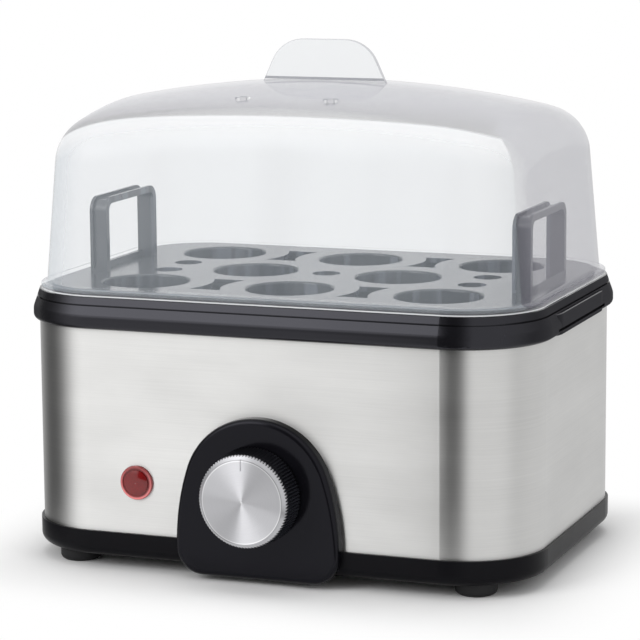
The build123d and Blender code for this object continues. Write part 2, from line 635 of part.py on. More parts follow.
def make_thermostat():
    """Disc thermostat with its mounting flange, held against the plate."""
    top = SPREADER_BOTTOM
    flange = block(
        (-THERMOSTAT_FLANGE_LENGTH / 2, THERMOSTAT_FLANGE_LENGTH / 2),
        (-THERMOSTAT_FLANGE_WIDTH / 2, THERMOSTAT_FLANGE_WIDTH / 2),
        (top - THERMOSTAT_FLANGE_THICKNESS, top),
    )
    for i in (-1, 1):
        x = i * THERMOSTAT_SCREW_SPACING / 2
        flange_low = top - THERMOSTAT_FLANGE_THICKNESS
        flange -= rod_z(x, 0, flange_low - FIT, top + FIT, THERMOSTAT_SCREW_RADIUS + FIT)
        low = top - THERMOSTAT_HEIGHT - THERMOSTAT_BLADE_LENGTH
        x = i * THERMOSTAT_RADIUS * 0.6
        half = BLADE_THICKNESS / 2
        flange += block((x - half, x + half), (-BLADE_WIDTH / 2, BLADE_WIDTH / 2), (low, flange_low))
    return Pos(THERMOSTAT_X, 0, 0) * (flange + rod_z(0, 0, top - THERMOSTAT_HEIGHT, top, THERMOSTAT_RADIUS))


def make_thermostat_screws():
    """Two small screws through the thermostat's flange into the plate."""
    head_top = SPREADER_BOTTOM - THERMOSTAT_FLANGE_THICKNESS
    head = rod_z(0, 0, head_top - THERMOSTAT_SCREW_HEAD_HEIGHT, head_top, THERMOSTAT_SCREW_HEAD_RADIUS)
    screw = head + rod_z(0, 0, head_top - FIT, PAN_BOTTOM - 2 * FIT, THERMOSTAT_SCREW_RADIUS)
    spots = [THERMOSTAT_X + i * THERMOSTAT_SCREW_SPACING / 2 for i in (-1, 1)]
    return join([Pos(x, 0, 0) * screw for x in spots])


def make_thermal_fuse():
    """Thermal fuse in its sleeve, lying along the underside of the bracket."""
    z = BRACKET_BOTTOM - FUSE_RADIUS - RUNNING_CLEARANCE
    start = -STUD_Y - NUT_RADIUS - FUSE_NUT_GAP - FUSE_LENGTH
    return rod_y(BRACKET_WIDTH / 4, z, start, FUSE_LENGTH, FUSE_RADIUS)


def panel_outline(inset):
    """The panel's arched outline of three arcs over a block, about its centre line, pulled in by inset."""
    half = PANEL_HALF_WIDTH - inset
    bottom = PANEL_BOTTOM + inset
    height = PANEL_SPRING_HEIGHT - bottom
    corner = PANEL_CORNER - inset
    lower = Pos(0, bottom + height / 2) * Rectangle(2 * half, height)
    lower = fillet(lower.vertices().sort_by(Axis.Y)[:2], corner)
    top_centre = PANEL_TOP - PANEL_TOP_RADIUS
    rise = top_centre - PANEL_SPRING_HEIGHT
    spread = PANEL_HALF_WIDTH - PANEL_TOP_RADIUS
    side_radius = (PANEL_HALF_WIDTH**2 + rise**2 - PANEL_TOP_RADIUS**2) / (2 * spread)
    reach = side_radius - PANEL_HALF_WIDTH
    join_height = top_centre + PANEL_TOP_RADIUS * rise / (side_radius - PANEL_TOP_RADIUS)
    sides = Pos(-reach, PANEL_SPRING_HEIGHT) * Circle(side_radius - inset)
    sides &= Pos(reach, PANEL_SPRING_HEIGHT) * Circle(side_radius - inset)
    shoulders = join_height - PANEL_SPRING_HEIGHT
    sides &= Pos(0, PANEL_SPRING_HEIGHT + shoulders / 2) * Rectangle(2 * PANEL_HALF_WIDTH, shoulders)
    return lower + sides + Pos(0, top_centre) * Circle(PANEL_TOP_RADIUS - inset)


def make_control_panel():
    """Black arched housing in front of the steel, with a hub for the switch and two screw bosses."""
    outer = extrude(front_plane(PANEL_X, 0) * panel_outline(0), PANEL_DEPTH)
    face_edges = [e for e in outer.edges() if e.bounding_box().max.Y < FRONT - PANEL_DEPTH + FIT]
    outer = fillet(face_edges, PANEL_EDGE_RADIUS)
    through = PANEL_DEPTH + 2 * FIT
    pocket_depth = PANEL_DEPTH - PANEL_WALL
    pocket = extrude(front_plane(PANEL_X, 0, -FIT) * panel_outline(PANEL_WALL), pocket_depth + FIT)
    pocket -= rod_y(PANEL_X, CONTROL_HEIGHT, FRONT - PANEL_DEPTH, through, PANEL_HUB_RADIUS)
    for i in (-1, 1):
        x = PANEL_X + i * PANEL_SCREW_X
        pocket -= rod_y(x, PANEL_SCREW_Z, FRONT - PANEL_DEPTH, through, PANEL_BOSS_RADIUS)
    panel = outer - pocket
    back = FRONT - PANEL_DEPTH - FIT
    panel -= rod_y(PANEL_X, CONTROL_HEIGHT, back, through, TIMER_BUSH_RADIUS + FIT)
    for i in (-1, 1):
        x = PANEL_X + i * PANEL_SCREW_X
        screw_end = FRONT - PANEL_SCREW_LENGTH + PANEL_WALL
        hole_radius = PANEL_SCREW_RADIUS + RUNNING_CLEARANCE
        panel -= rod_y(x, PANEL_SCREW_Z, screw_end, PANEL_SCREW_LENGTH, hole_radius)
        x = PANEL_X + i * TIMER_SCREW_SPACING / 2
        panel -= rod_y(x, CONTROL_HEIGHT, back, through, TIMER_SCREW_RADIUS + FIT)
        head_depth = TIMER_SCREW_HEAD_HEIGHT + FIT
        panel -= rod_y(x, CONTROL_HEIGHT, back, head_depth, TIMER_SCREW_HEAD_RADIUS + FIT)
    clear = PANEL_BASE_CLEARANCE
    panel -= prism(BASE_LIP + clear, -FIT, BAND_BOTTOM + clear)
    return panel - prism(0, BAND_BOTTOM, COLLAR_BOTTOM)


def rib_star(radius):
    """A fine-toothed disc outline, tooth tips on the given radius."""
    tips = []
    for k in range(2 * KNOB_RIB_COUNT):
        reach = radius - KNOB_RIB_DEPTH * (k % 2)
        angle = pi * k / KNOB_RIB_COUNT
        tips.append((reach * cos(angle), reach * sin(angle)))
    return Polygon(*tips, align=None)


def knob_plane(out):
    """A plane square to the knob's axis, out mm before the steel."""
    return front_plane(PANEL_X, CONTROL_HEIGHT, out)


def shaft_profile(radius, flat):
    """The switch shaft's section: a circle with one flat on its upper side."""
    return Circle(radius) - Pos(0, flat + radius) * Rectangle(3 * radius, 2 * radius)


def make_knob_skirt():
    """Black knob body: low foot ring, fine ribs, hollow back, hub with a D bore."""
    foot = knob_plane(KNOB_BACK) * Cylinder(KNOB_FOOT_RADIUS, KNOB_FOOT_LENGTH, align=LOW)
    rib_back = knob_plane(RIB_BACK) * rib_star(KNOB_RIB_BACK_RADIUS)
    rib_front = knob_plane(CAP_BACK) * rib_star(KNOB_RIB_FRONT_RADIUS)
    ribs = loft([rib_back, rib_front], ruled=True)
    skirt = foot + ribs
    hollow = knob_plane(KNOB_BACK) * Cylinder(KNOB_HOLLOW_RADIUS, KNOB_HOLLOW_DEPTH, align=LOW)
    hollow -= knob_plane(KNOB_BACK) * Cylinder(KNOB_HUB_RADIUS, KNOB_HOLLOW_DEPTH, align=LOW)
    skirt -= hollow
    bore_end = KNOB_BACK + SHAFT_HUB_DEPTH
    bore = shaft_profile(SHAFT_RADIUS + FIT, SHAFT_RADIUS - SHAFT_FLAT + FIT)
    skirt -= extrude(knob_plane(KNOB_BACK) * bore, bore_end - KNOB_BACK + FIT)
    recess = Cylinder(CAP_SPIGOT_RADIUS + FIT, CAP_SPIGOT_LENGTH + 2 * FIT, align=LOW)
    skirt -= knob_plane(CAP_BACK - CAP_SPIGOT_LENGTH - FIT) * recess
    return skirt


def make_knob_cap():
    """Aluminium face disc with a toothed rim, a bevel and a pointer notch at twelve o'clock."""
    disc = extrude(knob_plane(CAP_BACK) * rib_star(CAP_RADIUS), CAP_THICKNESS)
    straight = CAP_THICKNESS - CAP_BEVEL_DEPTH
    limit = knob_plane(CAP_BACK) * Cylinder(CAP_RADIUS + FIT, straight, align=LOW)
    bevel = Cone(CAP_RADIUS + FIT, CAP_FACE_RADIUS, CAP_BEVEL_DEPTH, align=LOW)
    limit += knob_plane(CAP_BACK + straight) * bevel
    disc = disc & limit
    spigot = Cylinder(CAP_SPIGOT_RADIUS, CAP_SPIGOT_LENGTH + FIT, align=LOW)
    disc += knob_plane(CAP_BACK - CAP_SPIGOT_LENGTH) * spigot
    z_low = CONTROL_HEIGHT + NOTCH_INNER_RADIUS
    face = FRONT - KNOB_FACE
    notch_x = (PANEL_X - NOTCH_WIDTH / 2, PANEL_X + NOTCH_WIDTH / 2)
    return disc - block(notch_x, (face - FIT, face + NOTCH_DEPTH), (z_low, z_low + CAP_RADIUS))


def make_timer_shaft():
    """The switch's shaft, with a flat where the knob sits."""
    inner = FRONT + SHAFT_INSIDE
    outer = FRONT - KNOB_BACK - SHAFT_HUB_DEPTH + FIT
    shaft = rod_y(PANEL_X, CONTROL_HEIGHT, outer, inner - outer, SHAFT_RADIUS)
    flat_z = CONTROL_HEIGHT + SHAFT_RADIUS - SHAFT_FLAT
    x_range = (PANEL_X - SHAFT_RADIUS, PANEL_X + SHAFT_RADIUS)
    y_range = (outer - FIT, FRONT - KNOB_BACK + FIT)
    return shaft - block(x_range, y_range, (flat_z, flat_z + SHAFT_RADIUS))


def make_timer_plate():
    """Steel mounting plate between the steel band and the switch's case."""
    front = INNER_FRONT + FIT
    half_w = TIMER_PLATE_WIDTH / 2
    half_h = TIMER_PLATE_HEIGHT / 2
    plate = block(
        (PANEL_X - half_w, PANEL_X + half_w),
        (front, front + TIMER_PLATE_THICKNESS),
        (CONTROL_HEIGHT - half_h, CONTROL_HEIGHT + half_h),
    )
    through = TIMER_PLATE_THICKNESS + 2 * FIT
    plate -= rod_y(PANEL_X, CONTROL_HEIGHT, front - FIT, through, TIMER_BUSH_RADIUS + FIT)
    for i in (-1, 1):
        x = PANEL_X + i * TIMER_SCREW_SPACING / 2
        plate -= rod_y(x, CONTROL_HEIGHT, front - FIT, through, TIMER_SCREW_RADIUS + FIT)
    return plate


def timer_front():
    """The Y place of the switch case's front face."""
    return INNER_FRONT + FIT + TIMER_PLATE_THICKNESS


def make_timer_case():
    """Switch case with a bush that reaches through the panel's hub and guides the shaft."""
    front = timer_front()
    half = TIMER_WIDTH / 2
    half_h = TIMER_HEIGHT / 2
    x_range = (PANEL_X - half, PANEL_X + half)
    z_range = (CONTROL_HEIGHT - half_h, CONTROL_HEIGHT + half_h)
    case = block(x_range, (front, front + TIMER_DEPTH), z_range)
    case = fillet(case.edges().filter_by(Axis.Y), TIMER_CORNER)
    bush_tip = FRONT - PANEL_DEPTH + FIT
    case += rod_y(PANEL_X, CONTROL_HEIGHT, bush_tip, front - bush_tip + FIT, TIMER_BUSH_RADIUS)
    cavity = FRONT + SHAFT_INSIDE + FIT - bush_tip
    case -= rod_y(PANEL_X, CONTROL_HEIGHT, bush_tip - FIT, cavity + FIT, SHAFT_RADIUS + RUNNING_CLEARANCE)
    for i in (-1, 1):
        x = PANEL_X + i * TIMER_SCREW_SPACING / 2
        hole_radius = TIMER_SCREW_RADIUS + RUNNING_CLEARANCE
        case -= rod_y(x, CONTROL_HEIGHT, front - FIT, TIMER_SCREW_REACH + 2 * FIT, hole_radius)
    return case


def make_timer_screws():
    """Two screws from the panel's face, under the knob, into the switch case."""
    face = FRONT - PANEL_DEPTH
    tip = timer_front() + TIMER_SCREW_REACH
    head = rod_y(0, CONTROL_HEIGHT, face, TIMER_SCREW_HEAD_HEIGHT, TIMER_SCREW_HEAD_RADIUS)
    screw = head + rod_y(0, CONTROL_HEIGHT, face, tip - face, TIMER_SCREW_RADIUS)
    return join([Pos(PANEL_X + i * TIMER_SCREW_SPACING / 2, 0, 0) * screw for i in (-1, 1)])


def make_timer_tabs():
    """Three brass blades on the back of the switch case."""
    back = timer_front() + TIMER_DEPTH
    blade = block(
        (-BLADE_THICKNESS / 2, BLADE_THICKNESS / 2),
        (back, back + BLADE_LENGTH),
        (-BLADE_WIDTH / 2, BLADE_WIDTH / 2),
    )
    return join([Pos(PANEL_X + i * BLADE_SPACING, 0, CONTROL_HEIGHT) * blade for i in (-1, 0, 1)])


def make_panel_screws():
    """Two screws from inside the steel band into the panel's bosses."""
    head = rod_y(0, PANEL_SCREW_Z, INNER_FRONT, PANEL_SCREW_HEAD_HEIGHT, PANEL_SCREW_HEAD_RADIUS)
    tip = FRONT - PANEL_SCREW_LENGTH + PANEL_WALL + FIT
    screw = head + rod_y(0, PANEL_SCREW_Z, tip, INNER_FRONT - tip + FIT, PANEL_SCREW_RADIUS)
    return join([Pos(PANEL_X + i * PANEL_SCREW_X, 0, 0) * screw for i in (-1, 1)])


def make_lamp_lens():
    """Red lens: a flat rim, a shallow ring groove and a low dome."""
    plane = front_plane(LAMP_X, LAMP_HEIGHT)
    rim = plane * Cylinder(LAMP_FLANGE_RADIUS, LAMP_FLANGE_THICKNESS, align=LOW)
    face_edges = [e for e in rim.edges() if e.center().Y < FRONT - LAMP_FLANGE_THICKNESS + FIT]
    rim = fillet(face_edges, SOFT_GAP * 2)
    groove = front_plane(LAMP_X, LAMP_HEIGHT, LAMP_FLANGE_THICKNESS - LAMP_RING_DEPTH)
    rim -= groove * (
        Cylinder(LAMP_RING_RADIUS, LAMP_RING_DEPTH + FIT, align=LOW)
        - Cylinder(LAMP_DOME_RADIUS, LAMP_RING_DEPTH + FIT, align=LOW)
    )
    crown = (LAMP_DOME_RADIUS**2 + LAMP_DOME_HEIGHT**2) / (2 * LAMP_DOME_HEIGHT)
    centre = front_plane(LAMP_X, LAMP_HEIGHT, LAMP_FLANGE_THICKNESS + LAMP_DOME_HEIGHT - crown)
    cap = (centre * Sphere(crown)) & (plane * Cylinder(LAMP_DOME_RADIUS, crown, align=LOW))
    stem = rod_y(LAMP_X, LAMP_HEIGHT, FRONT - FIT, LAMP_LENS_TUCK, LAMP_BARREL_RADIUS)
    return rim + cap + stem


def make_lamp_body():
    """Barrel of the neon lamp behind the lens, with two pins."""
    front = FRONT - FIT + LAMP_LENS_TUCK
    body = rod_y(LAMP_X, LAMP_HEIGHT, front, LAMP_BARREL_LENGTH, LAMP_BARREL_RADIUS)
    for i in (-1, 1):
        end = front + LAMP_BARREL_LENGTH - FIT
        body += rod_y(LAMP_X + i * LAMP_BARREL_RADIUS / 2, LAMP_HEIGHT, end, BLADE_LENGTH, BLADE_THICKNESS)
    return body


def make_lamp_clip():
    """Push-on ring that holds the lamp against the inside of the steel."""
    ring = rod_y(LAMP_X, LAMP_HEIGHT, INNER_FRONT, LAMP_CLIP_THICKNESS, LAMP_CLIP_RADIUS)
    bore = LAMP_BARREL_RADIUS + RUNNING_CLEARANCE
    return ring - rod_y(LAMP_X, LAMP_HEIGHT, INNER_FRONT - FIT, LAMP_CLIP_THICKNESS + 2 * FIT, bore)


def make_cord_inlet():
    """Bushing in the rear of the steel band for the supply cord, with a narrower lip outside."""
    inner = REAR - BAND_THICKNESS - INLET_INNER_LENGTH
    total = INLET_INNER_LENGTH + BAND_THICKNESS + INLET_FLANGE_THICKNESS
    body = rod_y(INLET_X, INLET_HEIGHT, inner, total, INLET_BODY_RADIUS)
    flange = rod_y(INLET_X, INLET_HEIGHT, REAR, INLET_FLANGE_THICKNESS, INLET_FLANGE_RADIUS)
    outer_edges = [e for e in flange.edges() if e.center().Y > REAR + INLET_FLANGE_THICKNESS - FIT]
    flange = fillet(outer_edges, SOFT_GAP * 2)
    collar_low = REAR - BAND_THICKNESS - 2 * FIT - INLET_FLANGE_THICKNESS
    nut = rod_y(INLET_X, INLET_HEIGHT, collar_low, INLET_FLANGE_THICKNESS, INLET_FLANGE_RADIUS)
    bore = rod_y(INLET_X, INLET_HEIGHT, inner - FIT, total + 2 * FIT, INLET_BORE_RADIUS)
    relief = rod_y(INLET_X, INLET_HEIGHT, inner - FIT, REAR + SEAT_GAP - inner + FIT, INLET_RELIEF_RADIUS)
    return body + flange + nut - bore - relief


def make_terminal_block():
    """Three-way terminal block on the base floor."""
    x_range = (BLOCK_X - BLOCK_LENGTH / 2, BLOCK_X + BLOCK_LENGTH / 2)
    y_range = (BLOCK_Y - BLOCK_WIDTH / 2, BLOCK_Y + BLOCK_WIDTH / 2)
    body = block(x_range, y_range, (FLOOR_TOP, FLOOR_TOP + BLOCK_HEIGHT))
    body = fillet(body.edges().filter_by(Axis.Z), BLOCK_CORNER)
    top = FLOOR_TOP + BLOCK_HEIGHT
    for x in block_ways():
        body -= rod_z(x, BLOCK_Y, top - BLOCK_SCREW_DEPTH, top + FIT, BLOCK_SCREW_RADIUS + FIT)
    return body


def block_ways():
    """The X places of the terminal block's ways."""
    return [BLOCK_X + (k - (BLOCK_WAYS - 1) / 2) * BLOCK_PITCH for k in range(BLOCK_WAYS)]


def make_terminal_screws():
    """One slotted screw in each way of the terminal block."""
    top = FLOOR_TOP + BLOCK_HEIGHT
    head = top - BLOCK_SCREW_SUNK
    half = BLOCK_SCREW_SLOT / 2
    screw = rod_z(0, 0, top - BLOCK_SCREW_DEPTH, head, BLOCK_SCREW_RADIUS)
    slot_z = (head - BLOCK_SCREW_SLOT, head + FIT)
    screw -= block((-half, half), (-BLOCK_SCREW_RADIUS, BLOCK_SCREW_RADIUS), slot_z)
    return join([Pos(x, BLOCK_Y, 0) * screw for x in block_ways()])


def lead(points, bend):
    """One insulated wire along straight runs joined by arcs."""
    path = FilletPolyline(*points, radius=bend)
    section = Plane(origin=points[0], z_dir=path.tangent_at(0)) * Circle(LEAD_RADIUS)
    return sweep(section, path=path)


def make_internal_leads():
    """Wires between the terminal block, the switch, the lamp and the heating element."""
    ways = block_ways()
    block_front = BLOCK_Y - BLOCK_WIDTH / 2
    block_z = FLOOR_TOP + BLOCK_HEIGHT / 2
    tab_end = timer_front() + TIMER_DEPTH + BLADE_LENGTH
    lamp_end = FRONT - 2 * FIT + LAMP_LENS_TUCK + LAMP_BARREL_LENGTH + BLADE_LENGTH
    wires = []
    for k, i in ((1, -1), (2, 1)):
        x_tab = PANEL_X + i * BLADE_SPACING
        run = k * LEAD_STEP
        points = [(ways[k], block_front, block_z), (ways[k], block_front - LEAD_BLOCK_RUN - run, block_z)]
        points.append((x_tab, tab_end + LEAD_TAB_RUN + run, CONTROL_HEIGHT))
        points.append((x_tab, tab_end, CONTROL_HEIGHT))
        wires.append(lead(points, LEAD_BEND))
    x_lamp = LAMP_X - LAMP_BARREL_RADIUS / 2
    points = [(x_lamp, lamp_end, LAMP_HEIGHT), (x_lamp, lamp_end + LEAD_TAB_RUN, LAMP_HEIGHT)]
    points += [(ways[0], block_front - LEAD_BLOCK_RUN, block_z), (ways[0], block_front, block_z)]
    wires.append(lead(points, LEAD_BEND))
    return join(wires)


def make_egg_tray():
    """Egg tray: deck, locating skirt, eight open cups, hourglass slots and steam holes."""
    tray = prism(-TRAY_INSET, DECK_BOTTOM, DECK_TOP)
    tray = fillet(edges_near(tray, DECK_TOP - FIT, DECK_TOP + FIT), DECK_EDGE_RADIUS)
    skirt_outer = -TOP_LAND - TRAY_SKIRT_CLEARANCE
    skirt_low = DECK_BOTTOM - TRAY_SKIRT_DEPTH
    tray += wall(skirt_outer, skirt_outer - TRAY_SKIRT_WALL, skirt_low, DECK_BOTTOM + FIT)
    cup_low = DECK_TOP - CUP_DEPTH
    for x, y in EGG_CENTRES:
        tray += rod_z(x, y, cup_low, DECK_BOTTOM + FIT, EGG_HOLE_RADIUS + CUP_WALL)
    for x, y in EGG_CENTRES:
        tray -= rod_z(x, y, cup_low + CUP_LEDGE_THICKNESS, DECK_TOP + FIT, EGG_HOLE_RADIUS)
        tray -= rod_z(x, y, cup_low - FIT, DECK_TOP + FIT, EGG_HOLE_RADIUS - CUP_LEDGE_WIDTH)
    level = [e for e in edges_near(tray, DECK_TOP - FIT, DECK_TOP + FIT) if e.geom_type == GeomType.CIRCLE]
    tray = fillet([e for e in level if abs(e.radius - EGG_HOLE_RADIUS) < FIT], CUP_EDGE_RADIUS)
    for x, y in SLOT_CENTRES:
        tray -= Pos(x, y, 0) * hourglass()
    for x, y in STEAM_CENTRES:
        tray -= rod_z(x, y, DECK_BOTTOM - FIT, DECK_TOP + FIT, STEAM_HOLE_RADIUS)
    for i in (-1, 1):
        for j in (-1, 1):
            tray -= handle_leg_space(i, j, FIT)
    return tray


def hourglass():
    """A through cut whose long sides follow arcs about the neighbouring eggs."""
    pitch = EGG_PITCH_X / 2
    low = DECK_BOTTOM - FIT
    cut = block((-pitch / 2, pitch / 2), (-SLOT_LENGTH / 2, SLOT_LENGTH / 2), (low, DECK_TOP + FIT))
    for i in (-1, 1):
        cut -= rod_z(i * pitch, 0, low, DECK_TOP + FIT, SLOT_ARC_RADIUS)
    return cut


def handle_leg_space(i, j, grow):
    """The block a handle leg takes through the deck, grown by a clearance."""
    x_range = sorted((i * (HANDLE_OUTER_X - HANDLE_STRAP - grow), i * (HANDLE_OUTER_X + grow)))
    y_inner = HANDLE_HALF_SPAN - HANDLE_THICKNESS - grow
    y_range = sorted((j * y_inner, j * (HANDLE_HALF_SPAN + grow)))
    return block(x_range, y_range, (DECK_BOTTOM - HANDLE_TUCK - grow, DECK_TOP + FIT))


def make_tray_handle(i):
    """Upright handle: a flanged strap over two legs that stand in the deck, with a low foot bar."""
    top = DECK_TOP + HANDLE_RISE
    bottom = DECK_BOTTOM - HANDLE_TUCK
    x_inner = HANDLE_OUTER_X - HANDLE_STRAP
    span = HANDLE_HALF_SPAN
    outer = block((x_inner, HANDLE_OUTER_X), (-span, span), (bottom, top))
    outer = fillet([e for e in outer.edges().filter_by(Axis.X) if e.center().Z > top - FIT], HANDLE_CORNER)
    opening_half = span - HANDLE_THICKNESS
    opening_top = top - HANDLE_THICKNESS
    x_through = (x_inner - FIT, HANDLE_OUTER_X + FIT)
    opening = block(x_through, (-opening_half, opening_half), (bottom - FIT, opening_top))
    top_edges = [e for e in opening.edges().filter_by(Axis.X) if e.center().Z > opening_top - FIT]
    opening = fillet(top_edges, HANDLE_CORNER - HANDLE_THICKNESS)
    handle = outer - opening
    relief = HANDLE_THICKNESS - HANDLE_WEB
    web = block(x_through, (-span + relief, span - relief), (bottom, top - relief))
    top_edges = [e for e in web.edges().filter_by(Axis.X) if e.center().Z > top - relief - FIT]
    web = fillet(top_edges, HANDLE_CORNER - relief)
    channel_x = (x_inner + HANDLE_FLANGE, HANDLE_OUTER_X - HANDLE_FLANGE)
    channel = block(channel_x, (-span - FIT, span + FIT), (DECK_TOP + HANDLE_FLANGE, top + FIT)) - web
    handle -= channel
    bar_x = (HANDLE_OUTER_X - HANDLE_BAR_THICKNESS, HANDLE_OUTER_X)
    bar_y = (-opening_half - FIT, opening_half + FIT)
    handle += block(bar_x, bar_y, (DECK_TOP, DECK_TOP + HANDLE_BAR_HEIGHT))
    return handle if i > 0 else mirror(handle, about=Plane.YZ)


def lid_form(inset):
    """The lid's tapered, crowned and blended solid form, pulled in by inset."""
    offset = -LID_WALL_INSET - inset
    outline = RectangleRounded(BODY_WIDTH + 2 * offset, BODY_DEPTH + 2 * offset, BODY_CORNER + offset)
    top = LID_TOP - inset
    tower = extrude(Plane.XY.offset(RIM_BOTTOM) * outline, top - RIM_BOTTOM + LID_BLEND, taper=LID_DRAFT)
    reach = BODY_WIDTH / 2
    axis_z = top - LID_CROWN_RADIUS_Y
    edge = top - LID_CROWN_RADIUS_X + sqrt(LID_CROWN_RADIUS_X**2 - reach**2)
    with BuildSketch(Plane.XZ) as section:
        with BuildLine():
            Polyline((-reach, edge), (-reach, axis_z), (reach, axis_z), (reach, edge))
            ThreePointArc((-reach, edge), (0, top), (reach, edge))
        make_face()
    crown = revolve(section.sketch, Axis((0, 0, axis_z), (1, 0, 0)), 360)
    form = tower & crown
    halfway = (RIM_TOP + top) / 2
    return fillet([e for e in form.edges() if e.bounding_box().min.Z > halfway], LID_BLEND - inset)


def outline_offset(edge):
    """How far an edge's middle lies outside the body's outline."""
    middle = edge @ 0.5
    x = max(abs(middle.X) - BODY_WIDTH / 2 + BODY_CORNER, 0)
    y = max(abs(middle.Y) - BODY_DEPTH / 2 + BODY_CORNER, 0)
    return sqrt(x**2 + y**2) - BODY_CORNER


def make_lid():
    """Clear lid: blended dome, stepped rim, upright tab and two steam vents with raised rings."""
    rim = prism(-LID_RIM_INSET, RIM_BOTTOM, RIM_TOP)
    rim = fillet(edges_near(rim, RIM_TOP - FIT, RIM_TOP + FIT), LID_RIM_FILLET)
    inner = lid_form(LID_WALL)
    vents = [(i * VENT_X, VENT_Y) for i in (-1, 1)]
    lid = rim + lid_form(0)
    root = [e for e in edges_near(lid, RIM_TOP - FIT, RIM_TOP + FIT) if outline_offset(e) < -LID_WALL_INSET]
    flange = LID_WALL_INSET - LID_RIM_INSET - LID_RIM_FILLET
    lid = fillet(root, min(LID_RIM_COVE, flange - FIT))
    lid += make_tab()
    ring_top = vent_height() + VENT_RING_PROUD
    for x, y in vents:
        lid += rod_z(x, y, ring_top - LID_WALL - VENT_RING_PROUD, ring_top, VENT_RING_RADIUS)
    hollow = prism(-LID_RIM_INSET - LID_RIM_WALL, RIM_BOTTOM - FIT, RIM_TOP - LID_RIM_WALL)
    lid = lid - inner - hollow
    for x, y in vents:
        lid -= rod_z(x, y, LID_TOP - LID_BLEND, LID_TOP + FIT, VENT_HOLE_RADIUS)
    return lid


def vent_height():
    """The height of the lid's crowned top at the steam vents."""
    return LID_TOP - LID_CROWN_RADIUS_Y + sqrt(LID_CROWN_RADIUS_Y**2 - VENT_Y**2)


def make_tab():
    """The lid's upright finger tab, a rounded trapezoid rooted in the lid's top."""
    lean = (TAB_BASE_WIDTH - TAB_TOP_WIDTH) / 2 / TAB_HEIGHT
    root = TAB_BASE_WIDTH / 2 + lean * TAB_ROOT
    low = LID_TOP - TAB_ROOT
    high = LID_TOP + TAB_HEIGHT
    half_top = TAB_TOP_WIDTH / 2
    sketch = Polygon((-root, low), (root, low), (half_top, high), (-half_top, high), align=None)
    sketch = fillet(sketch.vertices().sort_by(Axis.Y)[-2:], TAB_SHOULDER)
    return extrude(Plane.XZ * sketch, TAB_PLATE / 2, both=True)


PIECES = {
    "base_shell": make_base_shell,
    "feet": make_feet,
    "base_screws": make_base_screws,
    "steel_band": make_steel_band,
    "top_collar": make_top_collar,
    "pan_seal": make_pan_seal,
    "heating_pan": make_heating_pan,
    "heat_spreader": make_heat_spreader,
    "heating_element": make_heating_element,
    "pan_bracket": make_pan_bracket,
    "bracket_screws": make_bracket_screws,
    "stud_nuts": make_stud_nuts,
    "thermostat": make_thermostat,
    "thermostat_screws": make_thermostat_screws,
    "thermal_fuse": make_thermal_fuse,
    "control_panel": make_control_panel,
    "panel_screws": make_panel_screws,
    "knob_skirt": make_knob_skirt,
    "knob_cap": make_knob_cap,
    "timer_shaft": make_timer_shaft,
    "timer_case": make_timer_case,
    "timer_plate": make_timer_plate,
    "timer_screws": make_timer_screws,
    "timer_tabs": make_timer_tabs,
    "lamp_lens": make_lamp_lens,
    "lamp_body": make_lamp_body,
    "lamp_clip": make_lamp_clip,
    "cord_inlet": make_cord_inlet,
    "terminal_block": make_terminal_block,
    "terminal_screws": make_terminal_screws,
    "internal_leads": make_internal_leads,
    "egg_tray": make_egg_tray,
    "left_tray_handle": lambda: make_tray_handle(-1),
    "right_tray_handle": lambda: make_tray_handle(1),
    "lid": make_lid,
}


def main():
    """Write one STEP file for each piece."""
    os.makedirs("parts", exist_ok=True)
    for name, make in PIECES.items():
        piece = make()
        piece = piece.moved(Location((0, BODY_SHIFT_Y, 0)))
        export_step(piece, f"parts/{name}.step")
        print(name, len(piece.solids()), round(piece.volume))


main()
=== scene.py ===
"""Electric egg cooker: the finishes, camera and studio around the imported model.

The object stands on the floor at z = 0 with its front towards -Y. Lengths are metres, and
MM turns a size in millimetres into metres.
"""

import logging
import math
from dataclasses import dataclass
from enum import Enum

import bpy
from mathutils import Matrix, Vector


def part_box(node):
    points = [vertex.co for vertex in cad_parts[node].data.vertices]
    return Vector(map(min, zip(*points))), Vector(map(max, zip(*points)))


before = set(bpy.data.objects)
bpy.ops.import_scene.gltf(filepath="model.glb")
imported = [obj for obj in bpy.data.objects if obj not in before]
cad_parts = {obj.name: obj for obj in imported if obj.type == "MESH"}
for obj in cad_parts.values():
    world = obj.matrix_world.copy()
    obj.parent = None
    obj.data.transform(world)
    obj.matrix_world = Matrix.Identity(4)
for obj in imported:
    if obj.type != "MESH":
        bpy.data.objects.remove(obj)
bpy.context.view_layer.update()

MM = 0.001
ACROSS_THE_LINES = 0.25
log = logging.getLogger("egg_cooker")

Colour = tuple[float, float, float]
Point = tuple[float, float, float]
Node = bpy.types.Node
Socket = bpy.types.NodeSocket
Sockets = bpy.types.bpy_prop_collection


def grey(value: float) -> Colour:
    """A neutral colour of one linear value."""
    return (value, value, value)


def shade(colour: Colour, factor: float) -> Colour:
    """A colour made darker or lighter by a factor."""
    return tuple(part * factor for part in colour)


class Axis(Enum):
    """The axis that a turned or brushed grain runs around."""

    AROUND_Y = "Y"
    AROUND_Z = "Z"


